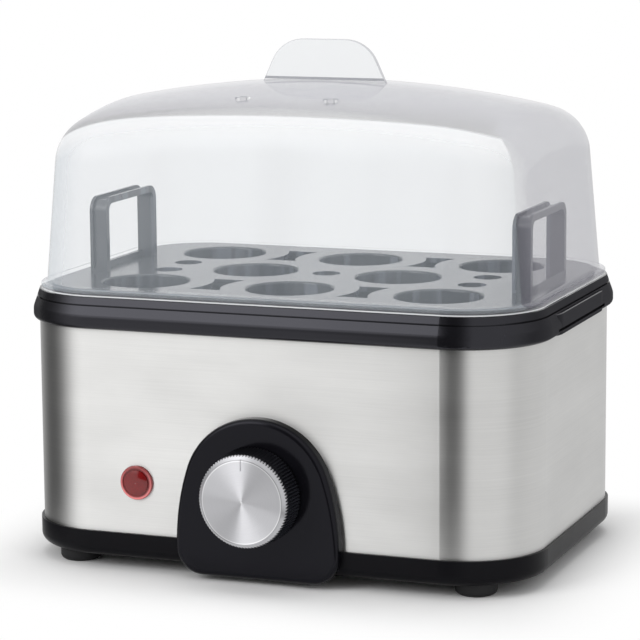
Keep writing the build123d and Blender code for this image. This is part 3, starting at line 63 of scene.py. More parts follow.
class Tree:
    """A node tree with short calls to add and join its nodes."""

    def __init__(self, tree: bpy.types.NodeTree) -> None:
        """Keeps a material's, group's or world's node tree."""
        self.tree = tree

    def add(self, kind: str, inputs: dict | None = None, **settings: object) -> Node:
        """Adds a node.

        Args:
            kind: the node type's identifier after "ShaderNode".
            inputs: values or sockets for the node's inputs, by name or place.
            settings: the node's own properties.

        Returns:
            The new node.
        """
        node = self.tree.nodes.new("ShaderNode" + kind)
        for name, value in settings.items():
            setattr(node, name, value)
        for name, value in (inputs or {}).items():
            self.feed(node.inputs[name], value)
        return node

    def feed(self, socket: Socket, value: object) -> None:
        """Links a socket to an output, or sets its value.

        Args:
            socket: the input to feed.
            value: an output socket, or a number, vector or colour.
        """
        if isinstance(value, bpy.types.NodeSocket):
            self.tree.links.new(value, socket)
        elif isinstance(value, (tuple, list)) and len(value) == 3 and socket.type == "RGBA":
            socket.default_value = (*value, 1.0)
        else:
            socket.default_value = value

    def math(self, operation: str, *values: object, clamp: bool = False) -> Socket:
        """A Math node's result for the given values or sockets."""
        node = self.add("Math", dict(enumerate(values)), operation=operation, use_clamp=clamp)
        return node.outputs[0]

    def vector(self, operation: str, *values: object) -> Socket:
        """A Vector Math node's resulting vector."""
        return self.add("VectorMath", dict(enumerate(values)), operation=operation).outputs[0]

    def measure(self, operation: str, *values: object) -> Socket:
        """A Vector Math node's resulting number, such as a length or a dot product."""
        node = self.add("VectorMath", dict(enumerate(values)), operation=operation)
        return node.outputs["Value"]

    def parts(self, vector: Socket) -> Sockets:
        """A vector's X, Y and Z sockets."""
        return self.add("SeparateXYZ", {0: vector}).outputs

    def noise(self, place: Socket, scale: object, detail: float, roughness: float = 0.5) -> Socket:
        """A noise texture's value.

        Args:
            place: where the noise is read.
            scale: how fine it is, as a number or socket.
            detail: how many finer layers it has.
            roughness: how strong the finer layers are.

        Returns:
            The value's socket, around 0.5.
        """
        inputs = {"Vector": place, "Scale": scale, "Detail": detail, "Roughness": roughness}
        return self.add("TexNoise", inputs).outputs[0]

    def ease(self, value: object, start: float, end: float, smooth: bool = False) -> Socket:
        """Maps a value from start..end to 0..1, and holds it there beyond both ends.

        Args:
            value: the socket to map.
            start: the value that gives 0.
            end: the value that gives 1.
            smooth: whether the ends run out softly.

        Returns:
            The mapped value's socket.
        """
        kind = "SMOOTHSTEP" if smooth else "LINEAR"
        node = self.add("MapRange", {0: value, 1: start, 2: end}, interpolation_type=kind)
        return node.outputs[0]

    def spread(self, value: object, low: float, high: float) -> Socket:
        """Maps a value from 0..1 to low..high.

        Args:
            value: the socket to map.
            low: the result at 0.
            high: the result at 1.

        Returns:
            The mapped value's socket.
        """
        return self.add("MapRange", {0: value, 3: low, 4: high}).outputs[0]

    def mix(self, share: object, first: object, second: object) -> Socket:
        """Mixes two colours.

        Args:
            share: how much of the second colour there is, from 0 to 1.
            first: a colour or socket.
            second: a colour or socket.

        Returns:
            The mixed colour's socket.
        """
        node = self.add("Mix", {0: share, 6: first, 7: second}, data_type="RGBA")
        return node.outputs[2]

    def blend(self, share: object, first: object, second: object) -> Socket:
        """Mixes two numbers, as mix does colours."""
        return self.add("Mix", {0: share, 2: first, 3: second}).outputs[0]

    def bearing(self, parts: Sockets) -> Socket:
        """A direction's angle around Z in radians, from the front towards +X."""
        return self.math("ARCTAN2", parts[0], self.math("MULTIPLY", parts[1], -1.0))

    def place(self) -> Socket:
        """The point's place in the piece's own frame, in metres."""
        return self.add("TexCoord").outputs["Object"]

    def normal(self) -> Socket:
        """The surface's normal."""
        return self.add("NewGeometry").outputs["Normal"]


class GroupTree(Tree):
    """A shader group's tree, with the sockets of its inputs and outputs."""

    def __init__(self, tree: bpy.types.NodeTree) -> None:
        """Adds the group's two ends."""
        super().__init__(tree)
        self.source = tree.nodes.new("NodeGroupInput").outputs
        self.result = tree.nodes.new("NodeGroupOutput").inputs

    def give(self, name: str, value: object) -> None:
        """Feeds one of the group's outputs."""
        self.feed(self.result[name], value)

    def off_axis(self) -> Socket:
        """The way from the group's Centre to its Place, without its share along Y."""
        away = self.vector("SUBTRACT", self.source["Place"], self.source["Centre"])
        return self.vector("MULTIPLY", away, (1, 0, 1))


@dataclass(frozen=True)
class Port:
    """One input or output of a shader group."""

    name: str
    kind: str
    value: object = None


PLACE = Port("Place", "Vector")
CENTRE = Port("Centre", "Vector")
EDGE_RADIUS = Port("Radius", "Float", 0.6 * MM)


class Effect:
    """A shader node group that several finishes share. It puts out one mask unless it says so."""

    title = "effect"
    inputs: tuple[Port, ...] = ()
    outputs: tuple[Port, ...] = (Port("Mask", "Float"),)

    def group(self) -> bpy.types.NodeTree:
        """Finds the group's tree, and builds it at its first use.

        Returns:
            The group's tree.
        """
        found = bpy.data.node_groups.get(self.title)
        if found:
            return found
        tree = bpy.data.node_groups.new(self.title, "ShaderNodeTree")
        for way, ports in (("INPUT", self.inputs), ("OUTPUT", self.outputs)):
            for port in ports:
                kind = "NodeSocket" + port.kind
                socket = tree.interface.new_socket(port.name, in_out=way, socket_type=kind)
                if port.value is not None:
                    socket.default_value = port.value
        self.fill(GroupTree(tree))
        return tree

    def fill(self, tree: GroupTree) -> None:
        """Builds the group's inside; each effect has its own."""
        raise NotImplementedError

    def put(self, tree: Tree, **values: object) -> Node:
        """Places the group in a material.

        Args:
            tree: the material's tree.
            values: the group's inputs, by name.

        Returns:
            The group node.
        """
        node = tree.add("Group", node_tree=self.group())
        for name, value in values.items():
            tree.feed(node.inputs[name], value)
        return node


class MouldedGrain(Effect):
    """Fine grain of a mould's surface, with slow tone changes across the piece."""

    title = "moulded_grain"
    inputs = (PLACE, Port("Grain", "Float", 1400.0), Port("Cloud", "Float", 25.0))
    outputs = (Port("Height", "Float"), Port("Tone", "Float"))
    grain_detail = 3.0
    cloud_detail = 2.0

    def fill(self, tree: GroupTree) -> None:
        """Adds two noises: a fine one for height, a slow one for tone.

        Args:
            tree: the group's tree.
        """
        place = tree.source["Place"]
        tree.give("Height", tree.noise(place, tree.source["Grain"], self.grain_detail))
        tree.give("Tone", tree.noise(place, tree.source["Cloud"], self.cloud_detail))


class BrushedLines(Effect):
    """Long fine lines of a brushed surface, running level, with cloudy patches."""

    title = "brushed_lines"
    inputs = (PLACE, Port("Length", "Float", 14.0), Port("Fineness", "Float", 2600.0))
    outputs = (Port("Line", "Float"), Port("Cloud", "Float"))
    line_detail = 4.0
    line_roughness = 0.6
    cloud_squash = (1.0, 1.0, 2.6)
    cloud_detail = 4.0
    cloud_least = 0.25
    cloud_most = 0.75

    def fill(self, tree: GroupTree) -> None:
        """Adds noise stretched along the lines, and a slow noise for the patches.

        Args:
            tree: the group's tree.
        """
        length, fineness = tree.source["Length"], tree.source["Fineness"]
        stretch = tree.add("CombineXYZ", {0: length, 1: length, 2: fineness}).outputs[0]
        stretched = tree.vector("MULTIPLY", tree.source["Place"], stretch)
        line = tree.noise(stretched, 1.0, self.line_detail, self.line_roughness)
        squashed = tree.vector("MULTIPLY", tree.source["Place"], self.cloud_squash)
        cloud = tree.noise(squashed, length, self.cloud_detail)
        tree.give("Line", line)
        tree.give("Cloud", tree.ease(cloud, self.cloud_least, self.cloud_most))


class TurnedRings(Effect):
    """Fine rings of a face turned on a lathe, around the Y axis through a centre.

    One line is cut around the face, with a groove just outside it, and a dimple in the centre.
    """

    title = "turned_rings"
    inputs = (
        PLACE, CENTRE, Port("Fineness", "Float", 3000.0),
        Port("Line Radius", "Float", 17.6 * MM), Port("Line Width", "Float", 0.3 * MM),
        Port("Dimple", "Float", 0.7 * MM),
    )
    outputs = (Port("Ring", "Float"), Port("Line", "Float"), Port("Groove", "Float"))
    ring_detail = 3.0
    groove_offset = 1.6

    def fill(self, tree: GroupTree) -> None:
        """Adds noise along the distance from the axis, the line, the groove and the dimple.

        Args:
            tree: the group's tree.
        """
        radius = tree.measure("LENGTH", tree.off_axis())
        along = tree.math("MULTIPLY", radius, tree.source["Fineness"])
        inputs = {"W": along, "Scale": 1.0, "Detail": self.ring_detail}
        ring = tree.add("TexNoise", inputs, noise_dimensions="1D").outputs[0]
        tree.give("Ring", ring)
        width = tree.source["Line Width"]
        line = self.line(tree, radius, tree.source["Line Radius"], width)
        dimple = tree.math("DIVIDE", radius, tree.source["Dimple"])
        dimple = tree.math("SUBTRACT", 1.0, dimple, clamp=True)
        tree.give("Line", tree.math("MAXIMUM", line, dimple))
        offset = tree.math("MULTIPLY", width, self.groove_offset)
        beside = tree.math("ADD", tree.source["Line Radius"], offset)
        tree.give("Groove", self.line(tree, radius, beside, width))

    def line(self, tree: Tree, radius: Socket, at: Socket, width: Socket) -> Socket:
        """Makes a soft round line.

        Args:
            tree: the group's tree.
            radius: the distance from the axis.
            at: the line's own distance from the axis.
            width: how far from its middle the line ends.

        Returns:
            The socket of a mask that is 1 on the line's middle and 0 beside the line.
        """
        off = tree.math("ABSOLUTE", tree.math("SUBTRACT", radius, at))
        return tree.math("SUBTRACT", 1.0, tree.math("DIVIDE", off, width), clamp=True)


class Knurl(Effect):
    """The gaps between the teeth of a knurled edge, around the Y axis through a centre."""

    title = "knurl"
    inputs = (
        PLACE, CENTRE, Port("Teeth", "Float", 90.0), Port("Inner Radius", "Float", 19.3 * MM),
    )
    outputs = (Port("Gap", "Float"),)
    wave_least = -0.15
    wave_most = 0.45
    inner_fade = 0.3 * MM

    def fill(self, tree: GroupTree) -> None:
        """Adds a wave around the axis, outside the inner radius only.

        Args:
            tree: the group's tree.
        """
        flat = tree.off_axis()
        parts = tree.parts(flat)
        turn = tree.math("MULTIPLY", tree.math("ARCTAN2", parts[0], parts[2]), tree.source["Teeth"])
        gap = tree.ease(tree.math("SINE", turn), self.wave_least, self.wave_most)
        beyond = tree.math("SUBTRACT", tree.measure("LENGTH", flat), tree.source["Inner Radius"])
        beyond = tree.math("DIVIDE", beyond, self.inner_fade, clamp=True)
        tree.give("Gap", tree.math("MULTIPLY", gap, beyond))


class ReflectionStreaks(Effect):
    """Upright soft streaks on walls, where a painted reflection of the surroundings goes."""

    title = "painted_reflection_streaks"
    inputs = (
        PLACE, CENTRE, Port("Reach", "Vector"), Port("Fineness", "Float", 150.0),
        Port("Amount", "Float", 1.0),
    )
    stretch = (1.0, 1.0, 0.06)
    noise_detail = 1.0
    noise_least = 0.45
    noise_most = 0.68
    slope_end = 0.5
    slope_full = 0.2

    def fill(self, tree: GroupTree) -> None:
        """Adds noise that hardly changes with height, on upright faces near the centre only.

        Args:
            tree: the group's tree.
        """
        long = tree.vector("MULTIPLY", tree.source["Place"], self.stretch)
        streak = tree.noise(long, tree.source["Fineness"], self.noise_detail)
        streak = tree.ease(streak, self.noise_least, self.noise_most, smooth=True)
        slope = tree.math("ABSOLUTE", tree.parts(tree.normal())[2])
        upright = tree.ease(slope, self.slope_end, self.slope_full)
        mask = tree.math("MULTIPLY", tree.math("MULTIPLY", streak, upright), tree.source["Amount"])
        away = tree.vector("SUBTRACT", tree.source["Place"], tree.source["Centre"])
        spare = tree.vector("SUBTRACT", tree.source["Reach"], tree.vector("ABSOLUTE", away))
        spare = tree.parts(spare)
        within = tree.math("GREATER_THAN", tree.math("MINIMUM", spare[0], spare[1]), 0.0)
        tree.give("Mask", tree.math("MULTIPLY", mask, within))


class SharpEdges(Effect):
    """Where the surface has a sharp edge: 1 on the edge, 0 on flat surfaces."""

    title = "sharp_edges"
    inputs = (EDGE_RADIUS,)
    bevel_samples = 4
    flat_turn = 0.995
    sharp_turn = 0.85

    def fill(self, tree: GroupTree) -> None:
        """Adds the rounded normal's turn away from the true one.

        Args:
            tree: the group's tree.
        """
        rounded = tree.add("Bevel", {"Radius": tree.source["Radius"]}, samples=self.bevel_samples)
        turn = tree.measure("DOT_PRODUCT", rounded.outputs[0], tree.normal())
        tree.give("Mask", tree.ease(turn, self.flat_turn, self.sharp_turn))


class PatchyEffect(Effect):
    """An effect whose mask is broken up by noise."""

    patch_scale = 260.0
    patch_detail = 4.0
    patch_least = 0.35
    patch_most = 0.65

    def break_up(self, tree: GroupTree, mask: Socket) -> Socket:
        """Takes patches out of a mask.

        Args:
            tree: the group's tree, which has the inputs Place and Amount.
            mask: the whole mask.

        Returns:
            The broken mask's socket.
        """
        patch = tree.noise(tree.source["Place"], self.patch_scale, self.patch_detail)
        patch = tree.ease(patch, self.patch_least, self.patch_most)
        mask = tree.math("MULTIPLY", mask, patch)
        return tree.math("MULTIPLY", mask, tree.source["Amount"], clamp=True)


class EdgeWearAndHighlight(PatchyEffect):
    """Rubbed edges that also carry a painted highlight: 1 on sharp edges, 0 on flat surfaces, in
    patches.
    """

    title = "edge_wear_and_highlight"
    inputs = (PLACE, EDGE_RADIUS, Port("Amount", "Float", 1.0))

    def fill(self, tree: GroupTree) -> None:
        """Adds the sharp edges, in patches.

        Args:
            tree: the group's tree.
        """
        edge = SharpEdges().put(tree, Radius=tree.source["Radius"]).outputs["Mask"]
        tree.give("Mask", self.break_up(tree, edge))


class SettledDust(PatchyEffect):
    """A thin film of dust on what faces up, in patches."""

    title = "settled_dust"
    inputs = (PLACE, Port("Amount", "Float", 0.1))
    up_least = 0.4
    up_most = 1.0
    patch_scale = 160.0
    patch_detail = 6.0
    patch_least = 0.4
    patch_most = 0.75

    def fill(self, tree: GroupTree) -> None:
        """Adds the upward share of the normal, in patches.

        Args:
            tree: the group's tree.
        """
        up = tree.ease(tree.parts(tree.normal())[2], self.up_least, self.up_most)
        tree.give("Mask", self.break_up(tree, up))


class StudioRing(Effect):
    """How bright the studio is around the object, as polished metal sees it.

    The right side is judged from the front right corner and the left side from the left one.
    Levels are pairs of an angle in degrees, from the front towards +X, and the level there.
    """

    title = "studio_ring"
    inputs = (Port("From Left", "Vector"), Port("From Right", "Vector"))
    outputs = (Port("Level", "Float"),)
    half_turn = 180
    left_levels = (
        (-180, 0.66), (-150, 0.58), (-128, 0.4), (-112, 0.2), (-102, 0.13), (-84, 0.13),
        (-72, 0.28), (-60, 0.6), (-49, 0.92), (-40, 1.0), (140, 1.0), (180, 0.66),
    )
    right_levels = (
        (-180, 0.66), (-140, 1.0), (-26, 1.0), (-22, 0.9), (-19, 0.72), (-17, 0.16),
        (-10, 0.08), (6, 0.12), (13, 0.25), (20, 0.62), (28, 1.05), (40, 1.22), (66, 1.14),
        (84, 0.9), (96, 0.82), (126, 0.88), (150, 0.79), (180, 0.66),
    )

    def ramp(self, tree: Tree, direction: Socket, levels: tuple) -> Socket:
        """Makes a ramp over a direction's angle around the object.

        Args:
            tree: the group's tree.
            direction: the direction's socket.
            levels: pairs of an angle in degrees, from -180 to 180, and the level there.

        Returns:
            The level's socket.
        """
        angle = tree.bearing(tree.parts(direction))
        ramp = tree.add("ValToRGB", {0: tree.ease(angle, -math.pi, math.pi)})
        stops = ramp.color_ramp.elements
        ready = len(stops)
        for number, (degrees, level) in enumerate(levels):
            spot = (degrees + self.half_turn) / (2 * self.half_turn)
            stop = stops[number] if number < ready else stops.new(spot)
            stop.position = spot
            stop.color = (*grey(level), 1)
        return ramp.outputs[0]

    def fill(self, tree: GroupTree) -> None:
        """Adds the darker of the two sides' levels.

        Args:
            tree: the group's tree.
        """
        left = self.ramp(tree, tree.source["From Left"], self.left_levels)
        right = self.ramp(tree, tree.source["From Right"], self.right_levels)
        tree.give("Level", tree.math("MINIMUM", left, right))


@dataclass(frozen=True)
class Finish:
    """One finish: what every material has in common."""

    name: str
    colour: Colour
    roughness: float
    specular: float = 0.5
    bump: float = 0.02 * MM
    sheen_tint: Colour = (1.0, 1.0, 1.0)
    rough_spread: float = 0.05
    bump_strength: float = 0.5

    def build(self) -> bpy.types.Material:
        """Finds the finish's material, and builds it at its first use.

        Returns:
            The material.
        """
        found = bpy.data.materials.get("finish_" + self.name)
        if found:
            return found
        material = bpy.data.materials.new("finish_" + self.name)
        material.use_nodes = True
        shader = material.node_tree.nodes["Principled BSDF"]
        shader.inputs["Base Color"].default_value = (*self.colour, 1.0)
        shader.inputs["Roughness"].default_value = self.roughness
        shader.inputs["Specular IOR Level"].default_value = self.specular
        shader.inputs["Specular Tint"].default_value = (*self.sheen_tint, 1.0)
        self.dress(Tree(material.node_tree), shader)
        return material

    def dress(self, tree: Tree, shader: Node) -> None:
        """Adds the finish's own nodes around the shader; each finish has its own.

        Args:
            tree: the material's tree.
            shader: the Principled node.
        """
        raise NotImplementedError

    def vary_roughness(self, tree: Tree, tone: Socket) -> Socket:
        """A roughness that goes with a tone from 0 to 1, around the finish's own."""
        low, high = self.roughness - self.rough_spread, self.roughness + self.rough_spread
        return tree.spread(tone, low, high)

    def raise_surface(self, tree: Tree, shader: Node, height: Socket) -> None:
        """Drives the shader's normal from a height between 0 and 1."""
        inputs = {"Strength": self.bump_strength, "Distance": self.bump, "Height": height}
        tree.feed(shader.inputs["Normal"], tree.add("Bump", inputs).outputs[0])

    def shine_across(self, tree: Tree, shader: Node, axis: Axis, amount: float) -> None:
        """Makes the shader a metal whose shine is stretched across its lines.

        Args:
            tree: the material's tree.
            shader: the Principled node.
            axis: the axis that the lines run around.
            amount: how far the shine is stretched, from 0 to 1.
        """
        shader.inputs["Metallic"].default_value = 1.0
        shader.inputs["Anisotropic"].default_value = amount
        shader.inputs["Anisotropic Rotation"].default_value = ACROSS_THE_LINES
        around = tree.add("Tangent", direction_type="RADIAL", axis=axis.value)
        tree.feed(shader.inputs["Tangent"], around.outputs[0])


@dataclass(frozen=True)
class GrainedFinish(Finish):
    """A finish with the fine grain of a mould, whose tone changes slowly."""

    grain: float = 1400.0
    cloud: float = 25.0

    def moulded(self, tree: Tree) -> Sockets:
        """The grain's Height and Tone."""
        scales = {"Grain": self.grain, "Cloud": self.cloud}
        return MouldedGrain().put(tree, Place=tree.place(), **scales).outputs


@dataclass(frozen=True)
class MouldedPlastic(GrainedFinish):
    """Moulded plastic or rubber with grain, a little dust, and rubbed edges partly painted as
    highlight.

    It can have painted reflection streaks around a centre, and more satin faces towards -X and +X.
    """

    tone: float = 0.06
    wear_and_highlight: float = 0.35
    wear_and_highlight_colour: Colour = (0.12, 0.12, 0.125)
    dust: float = 0.1
    dust_colour: Colour = (0.42, 0.40, 0.37)
    dust_roughness: float = 0.4
    streaks: float = 0.0
    reflection_streak_colour: Colour = (0.24, 0.26, 0.31)
    streak_centre: Point = (0.0, 0.0, 0.0)
    streak_reach: Point = (96.0 * MM, 69.0 * MM, 0.0)
    side_roughness: float = 0.0
    side_least: float = 0.6
    side_most: float = 0.9

    def dress(self, tree: Tree, shader: Node) -> None:
        """Adds grain into height and roughness; painted reflections, rubbed edges with painted
        highlight and dust into colour.

        Args:
            tree: the material's tree.
            shader: the Principled node.
        """
        place, grain = tree.place(), self.moulded(tree)
        dark, light = shade(self.colour, 1 - self.tone), shade(self.colour, 1 + self.tone)
        colour = tree.mix(grain["Tone"], dark, light)
        # painted reflections: lighter upright streaks stand in for the surroundings seen in the
        # walls
        if self.streaks:
            around = {"Centre": self.streak_centre, "Reach": self.streak_reach}
            painted_reflections = ReflectionStreaks().put(tree, Place=place, Amount=self.streaks, **around)
            colour = tree.mix(painted_reflections.outputs["Mask"], colour, self.reflection_streak_colour)
        # lighter sharp edges in patches: partly rubbed, partly a painted edge highlight
        wear_and_highlight = EdgeWearAndHighlight().put(tree, Place=place, Amount=self.wear_and_highlight).outputs["Mask"]
        colour = tree.mix(wear_and_highlight, colour, self.wear_and_highlight_colour)
        dust = SettledDust().put(tree, Place=place, Amount=self.dust).outputs["Mask"]
        colour = tree.mix(dust, colour, self.dust_colour)
        tree.feed(shader.inputs["Base Color"], colour)
        rough = self.vary_roughness(tree, grain["Tone"])
        dusty = tree.math("MULTIPLY", dust, self.dust_roughness)
        rough = tree.math("ADD", rough, dusty, clamp=True)
        if self.side_roughness:
            sideways = tree.math("ABSOLUTE", tree.parts(tree.normal())[0])
            sideways = tree.ease(sideways, self.side_least, self.side_most)
            satin = tree.math("MULTIPLY", sideways, self.side_roughness)
            rough = tree.math("ADD", rough, satin, clamp=True)
        tree.feed(shader.inputs["Roughness"], rough)
        self.raise_surface(tree, shader, grain["Height"])


@dataclass(frozen=True)
class RibbedPlastic(GrainedFinish):
    """Moulded plastic with fine ribs around a knob, smoother and with a painted highlight on their
    crests.
    """

    bump_strength: float = 0.2
    centre: Point = (0.0, 0.0, 0.0)
    inner_radius: float = 19.0 * MM
    crest_highlight_colour: Colour = (0.018, 0.019, 0.024)
    crest_least: float = 0.6
    valley_roughness: float = 0.15

    def dress(self, tree: Tree, shader: Node) -> None:
        """Adds grain into height, and the ribs' crests into roughness and as painted highlight into
        colour.

        Args:
            tree: the material's tree.
            shader: the Principled node.
        """
        grain = self.moulded(tree)
        ribs = {"Centre": self.centre, "Inner Radius": self.inner_radius}
        ribs = Knurl().put(tree, Place=tree.place(), **ribs).outputs["Gap"]
        # painted highlight: the ribs' crests are lighter
        crest = tree.math("MULTIPLY", ribs, tree.spread(grain["Tone"], self.crest_least, 1.0))
        tree.feed(shader.inputs["Base Color"], tree.mix(crest, self.colour, self.crest_highlight_colour))
        rough = tree.spread(crest, self.roughness + self.valley_roughness, self.roughness)
        tree.feed(shader.inputs["Roughness"], rough)
        self.raise_surface(tree, shader, grain["Height"])


@dataclass(frozen=True)
class BrushedSteel(Finish):
    """Stainless steel brushed along the body."""

    rough_spread: float = 0.08
    bump_strength: float = 0.25
    anisotropy: float = 0.7
    darkest: float = 0.8
    lightest: float = 1.16
    line_share: float = 0.5

    def dress(self, tree: Tree, shader: Node) -> None:
        """Adds level lines into height, and lines and patches into roughness and colour.

        Args:
            tree: the material's tree.
            shader: the Principled node.
        """
        lines = BrushedLines().put(tree, Place=tree.place()).outputs
        line = tree.math("MULTIPLY", lines["Line"], self.line_share)
        cloud = tree.math("MULTIPLY", lines["Cloud"], 1 - self.line_share)
        tone = tree.math("ADD", line, cloud)
        dark, light = shade(self.colour, self.darkest), shade(self.colour, self.lightest)
        tree.feed(shader.inputs["Base Color"], tree.mix(tone, dark, light))
        tree.feed(shader.inputs["Roughness"], self.vary_roughness(tree, tone))
        self.shine_across(tree, shader, Axis.AROUND_Z, self.anisotropy)
        self.raise_surface(tree, shader, lines["Line"])


@dataclass(frozen=True)
class SpunAluminium(Finish):
    """Aluminium turned on a lathe around the Y axis."""

    bump_strength: float = 0.3
    centre: Point = (0.0, 0.0, 0.0)
    darkest: float = 0.86
    highlight_line_colour: Colour = (0.97, 0.97, 0.98)
    groove_shade_colour: Colour = (0.22, 0.22, 0.23)
    groove_share: float = 0.6
    gap_shade_colour: Colour = (0.03, 0.03, 0.034)
    anisotropy: float = 0.97

    def dress(self, tree: Tree, shader: Node) -> None:
        """Adds rings into height, colour and roughness, and the knurl's gaps as painted shade.

        Args:
            tree: the material's tree.
            shader: the Principled node.
        """
        place = tree.place()
        rings = TurnedRings().put(tree, Place=place, Centre=self.centre).outputs
        colour = tree.mix(rings["Ring"], shade(self.colour, self.darkest), self.colour)
        # painted highlight on the cut line and the centre dimple, painted shade in the groove
        # beside it
        colour = tree.mix(rings["Line"], colour, self.highlight_line_colour)
        groove = tree.math("MULTIPLY", rings["Groove"], self.groove_share)
        colour = tree.mix(groove, colour, self.groove_shade_colour)
        # painted shade in the knurl's gaps
        gap = Knurl().put(tree, Place=place, Centre=self.centre).outputs["Gap"]
        tree.feed(shader.inputs["Base Color"], tree.mix(gap, colour, self.gap_shade_colour))
        tree.feed(shader.inputs["Roughness"], self.vary_roughness(tree, rings["Ring"]))
        self.shine_across(tree, shader, Axis.AROUND_Y, self.anisotropy)
        self.raise_surface(tree, shader, rings["Ring"])


@dataclass(frozen=True)
class PlainMetal(GrainedFinish):
    """Plated or cast metal of the inner parts and screws."""

    rough_spread: float = 0.06
    bump_strength: float = 0.4
    grain: float = 900.0
    cloud: float = 90.0
    darkest: float = 0.85

    def dress(self, tree: Tree, shader: Node) -> None:
        """Adds grain into height, colour and roughness.

        Args:
            tree: the material's tree.
            shader: the Principled node.
        """
        grain = self.moulded(tree)
        colour = tree.mix(grain["Tone"], shade(self.colour, self.darkest), self.colour)
        tree.feed(shader.inputs["Base Color"], colour)
        tree.feed(shader.inputs["Roughness"], self.vary_roughness(tree, grain["Tone"]))
        shader.inputs["Metallic"].default_value = 1.0
        self.raise_surface(tree, shader, grain["Height"])


@dataclass(frozen=True)
class ClearPlastic(GrainedFinish):
    """Clear plastic with a little milk in it: hazier where it is seen at a slant.

    The walls that face the front and the back get painted light: they are lighter than the rest,
    with darker upright bands of painted reflection, and end in a painted highlight crest under a
    bowed line, which drops towards the corners; above the line lies a painted shade crease. The
    sharp edges of the vents and the tab and the tab's root get painted shade, and the foot a
    painted highlight line under a painted shadow line. Heights count from the foot. The far walls
    are seen from inside, through the near ones, and add only a faint haze.
    """

    rough_spread: float = 0.03
    grain: float = 700.0
    cloud: float = 18.0
    centre: Point = (0.0, 0.0, 0.0)
    foot: float = 0.0
    lit_wall_colour: Colour = (0.53, 0.58, 0.63)
    wall_least: float = 0.41
    wall_most: float = 0.46
    reflection_band_colour: Colour = (0.33, 0.37, 0.42)
    band_fineness: float = 26.0
    band_amount: float = 0.5
    band_reach: Point = (1.0, 1.0, 1.0)
    crest_highlight_colour: Colour = (0.78, 0.8, 0.83)
    crest_height: float = 78.2 * MM
    crest_middle: float = 4.0 * MM
    crest_bow: float = 0.55
    crest_edge: float = 0.4 * MM
    crest_full: float = 3.0 * MM
    crest_depth: float = 10.0 * MM
    corner_reach: float = 100.0 * MM
    corner_power: float = 8.0
    corner_drop: float = 5.0 * MM
    crease_shade_colour: Colour = (0.07, 0.07, 0.09)
    crease_depth: float = 6.0 * MM
    highlight_line_colour: Colour = (0.9, 0.91, 0.93)
    line_end: float = 0.715 * MM
    line_full: float = 0.44 * MM
    shadow_height: float = 0.99 * MM
    shadow_reach: float = 0.33 * MM
    edge_shade_colour: Colour = (0.36, 0.37, 0.4)
    edge_radius: float = 0.6 * MM
    edges_above: float = 84.0 * MM
    tab_root: float = 88.9 * MM
    tab_root_reach: float = 0.55 * MM
    tab_facing: float = 0.6
    edge_alpha: float = 0.9
    face_alpha: float = 0.255
    slant_alpha: float = 0.8
    slant_power: float = 1.4
    inside_alpha: float = 0.09

    def dress(self, tree: Tree, shader: Node) -> None:
        """Adds the walls' painted light and shade, painted shade on marked edges and a shadow line,
        a painted highlight line at the foot, and the haze.

        Args:
            tree: the material's tree.
            shader: the Principled node.
        """
        tone = self.moulded(tree)["Tone"]
        tree.feed(shader.inputs["Roughness"], self.vary_roughness(tree, tone))
        spot, normal = tree.parts(tree.place()), tree.parts(tree.normal())
        height = tree.math("SUBTRACT", spot[2], self.foot)
        marks = self.mark_edges(tree, normal, height)
        colour = self.tint_walls(tree, spot, normal, height)
        # painted shade on the marked edges and the tab's root, and a painted shadow line above the
        # foot line
        colour = tree.mix(marks, colour, self.edge_shade_colour)
        shadow = tree.math("COMPARE", height, self.shadow_height, self.shadow_reach)
        colour = tree.mix(shadow, colour, self.edge_shade_colour)
        # painted highlight: a bright line along the foot
        line = tree.ease(height, self.line_end, self.line_full)
        tree.feed(shader.inputs["Base Color"], tree.mix(line, colour, self.highlight_line_colour))
        marks = tree.math("MAXIMUM", marks, line)
        tree.feed(shader.inputs["Alpha"], self.see_through(tree, marks))

    def tint_walls(self, tree: Tree, spot: Sockets, normal: Sockets, height: Socket) -> Socket:
        """Paints light on the long walls with a highlight crest, and shade on the rest as a crease
        above it.

        Args:
            tree: the material's tree.
            spot: the place's X, Y and Z.
            normal: the normal's X, Y and Z.
            height: the height above the foot.

        Returns:
            The colour's socket.
        """
        level = tree.math("SUBTRACT", 1.0, tree.math("MULTIPLY", normal[2], normal[2]), clamp=True)
        facing = tree.math("ABSOLUTE", normal[1])
        facing = tree.math("DIVIDE", facing, tree.math("SQRT", level), clamp=True)
        # painted light: the walls that face the front and the back, and the tab, are lighter than
        # the rest
        lit_long_wall = tree.ease(facing, self.wall_least, self.wall_most, smooth=True)
        over = self.over_crest(tree, spot, height)
        on_tab = tree.math("GREATER_THAN", height, self.tab_root - self.tab_root_reach)
        off_tab = tree.math("SUBTRACT", 1.0, on_tab)
        # painted shade: a dark crease on the long walls above the bowed line
        crease = tree.math("MULTIPLY", tree.ease(over, self.crease_depth, 0.0), lit_long_wall)
        # painted highlight: a bright crest band under the bowed line
        crest = tree.ease(over, -self.crest_depth, -self.crest_full)
        crest = tree.math("MULTIPLY", crest, off_tab)
        under = tree.ease(over, self.crest_edge, -self.crest_edge)
        light = tree.math("MULTIPLY", lit_long_wall, tree.math("MAXIMUM", under, on_tab))
        # painted reflections: darker upright bands on the lit walls
        bands = {
            "Reach": self.band_reach, "Fineness": self.band_fineness, "Amount": self.band_amount,
        }
        bands = ReflectionStreaks().put(tree, Place=tree.place(), **bands).outputs["Mask"]
        wall = tree.mix(bands, self.lit_wall_colour, self.reflection_band_colour)
        wall = tree.mix(crest, wall, self.crest_highlight_colour)
        rest = tree.mix(crease, self.colour, self.crease_shade_colour)
        return tree.mix(light, rest, wall)

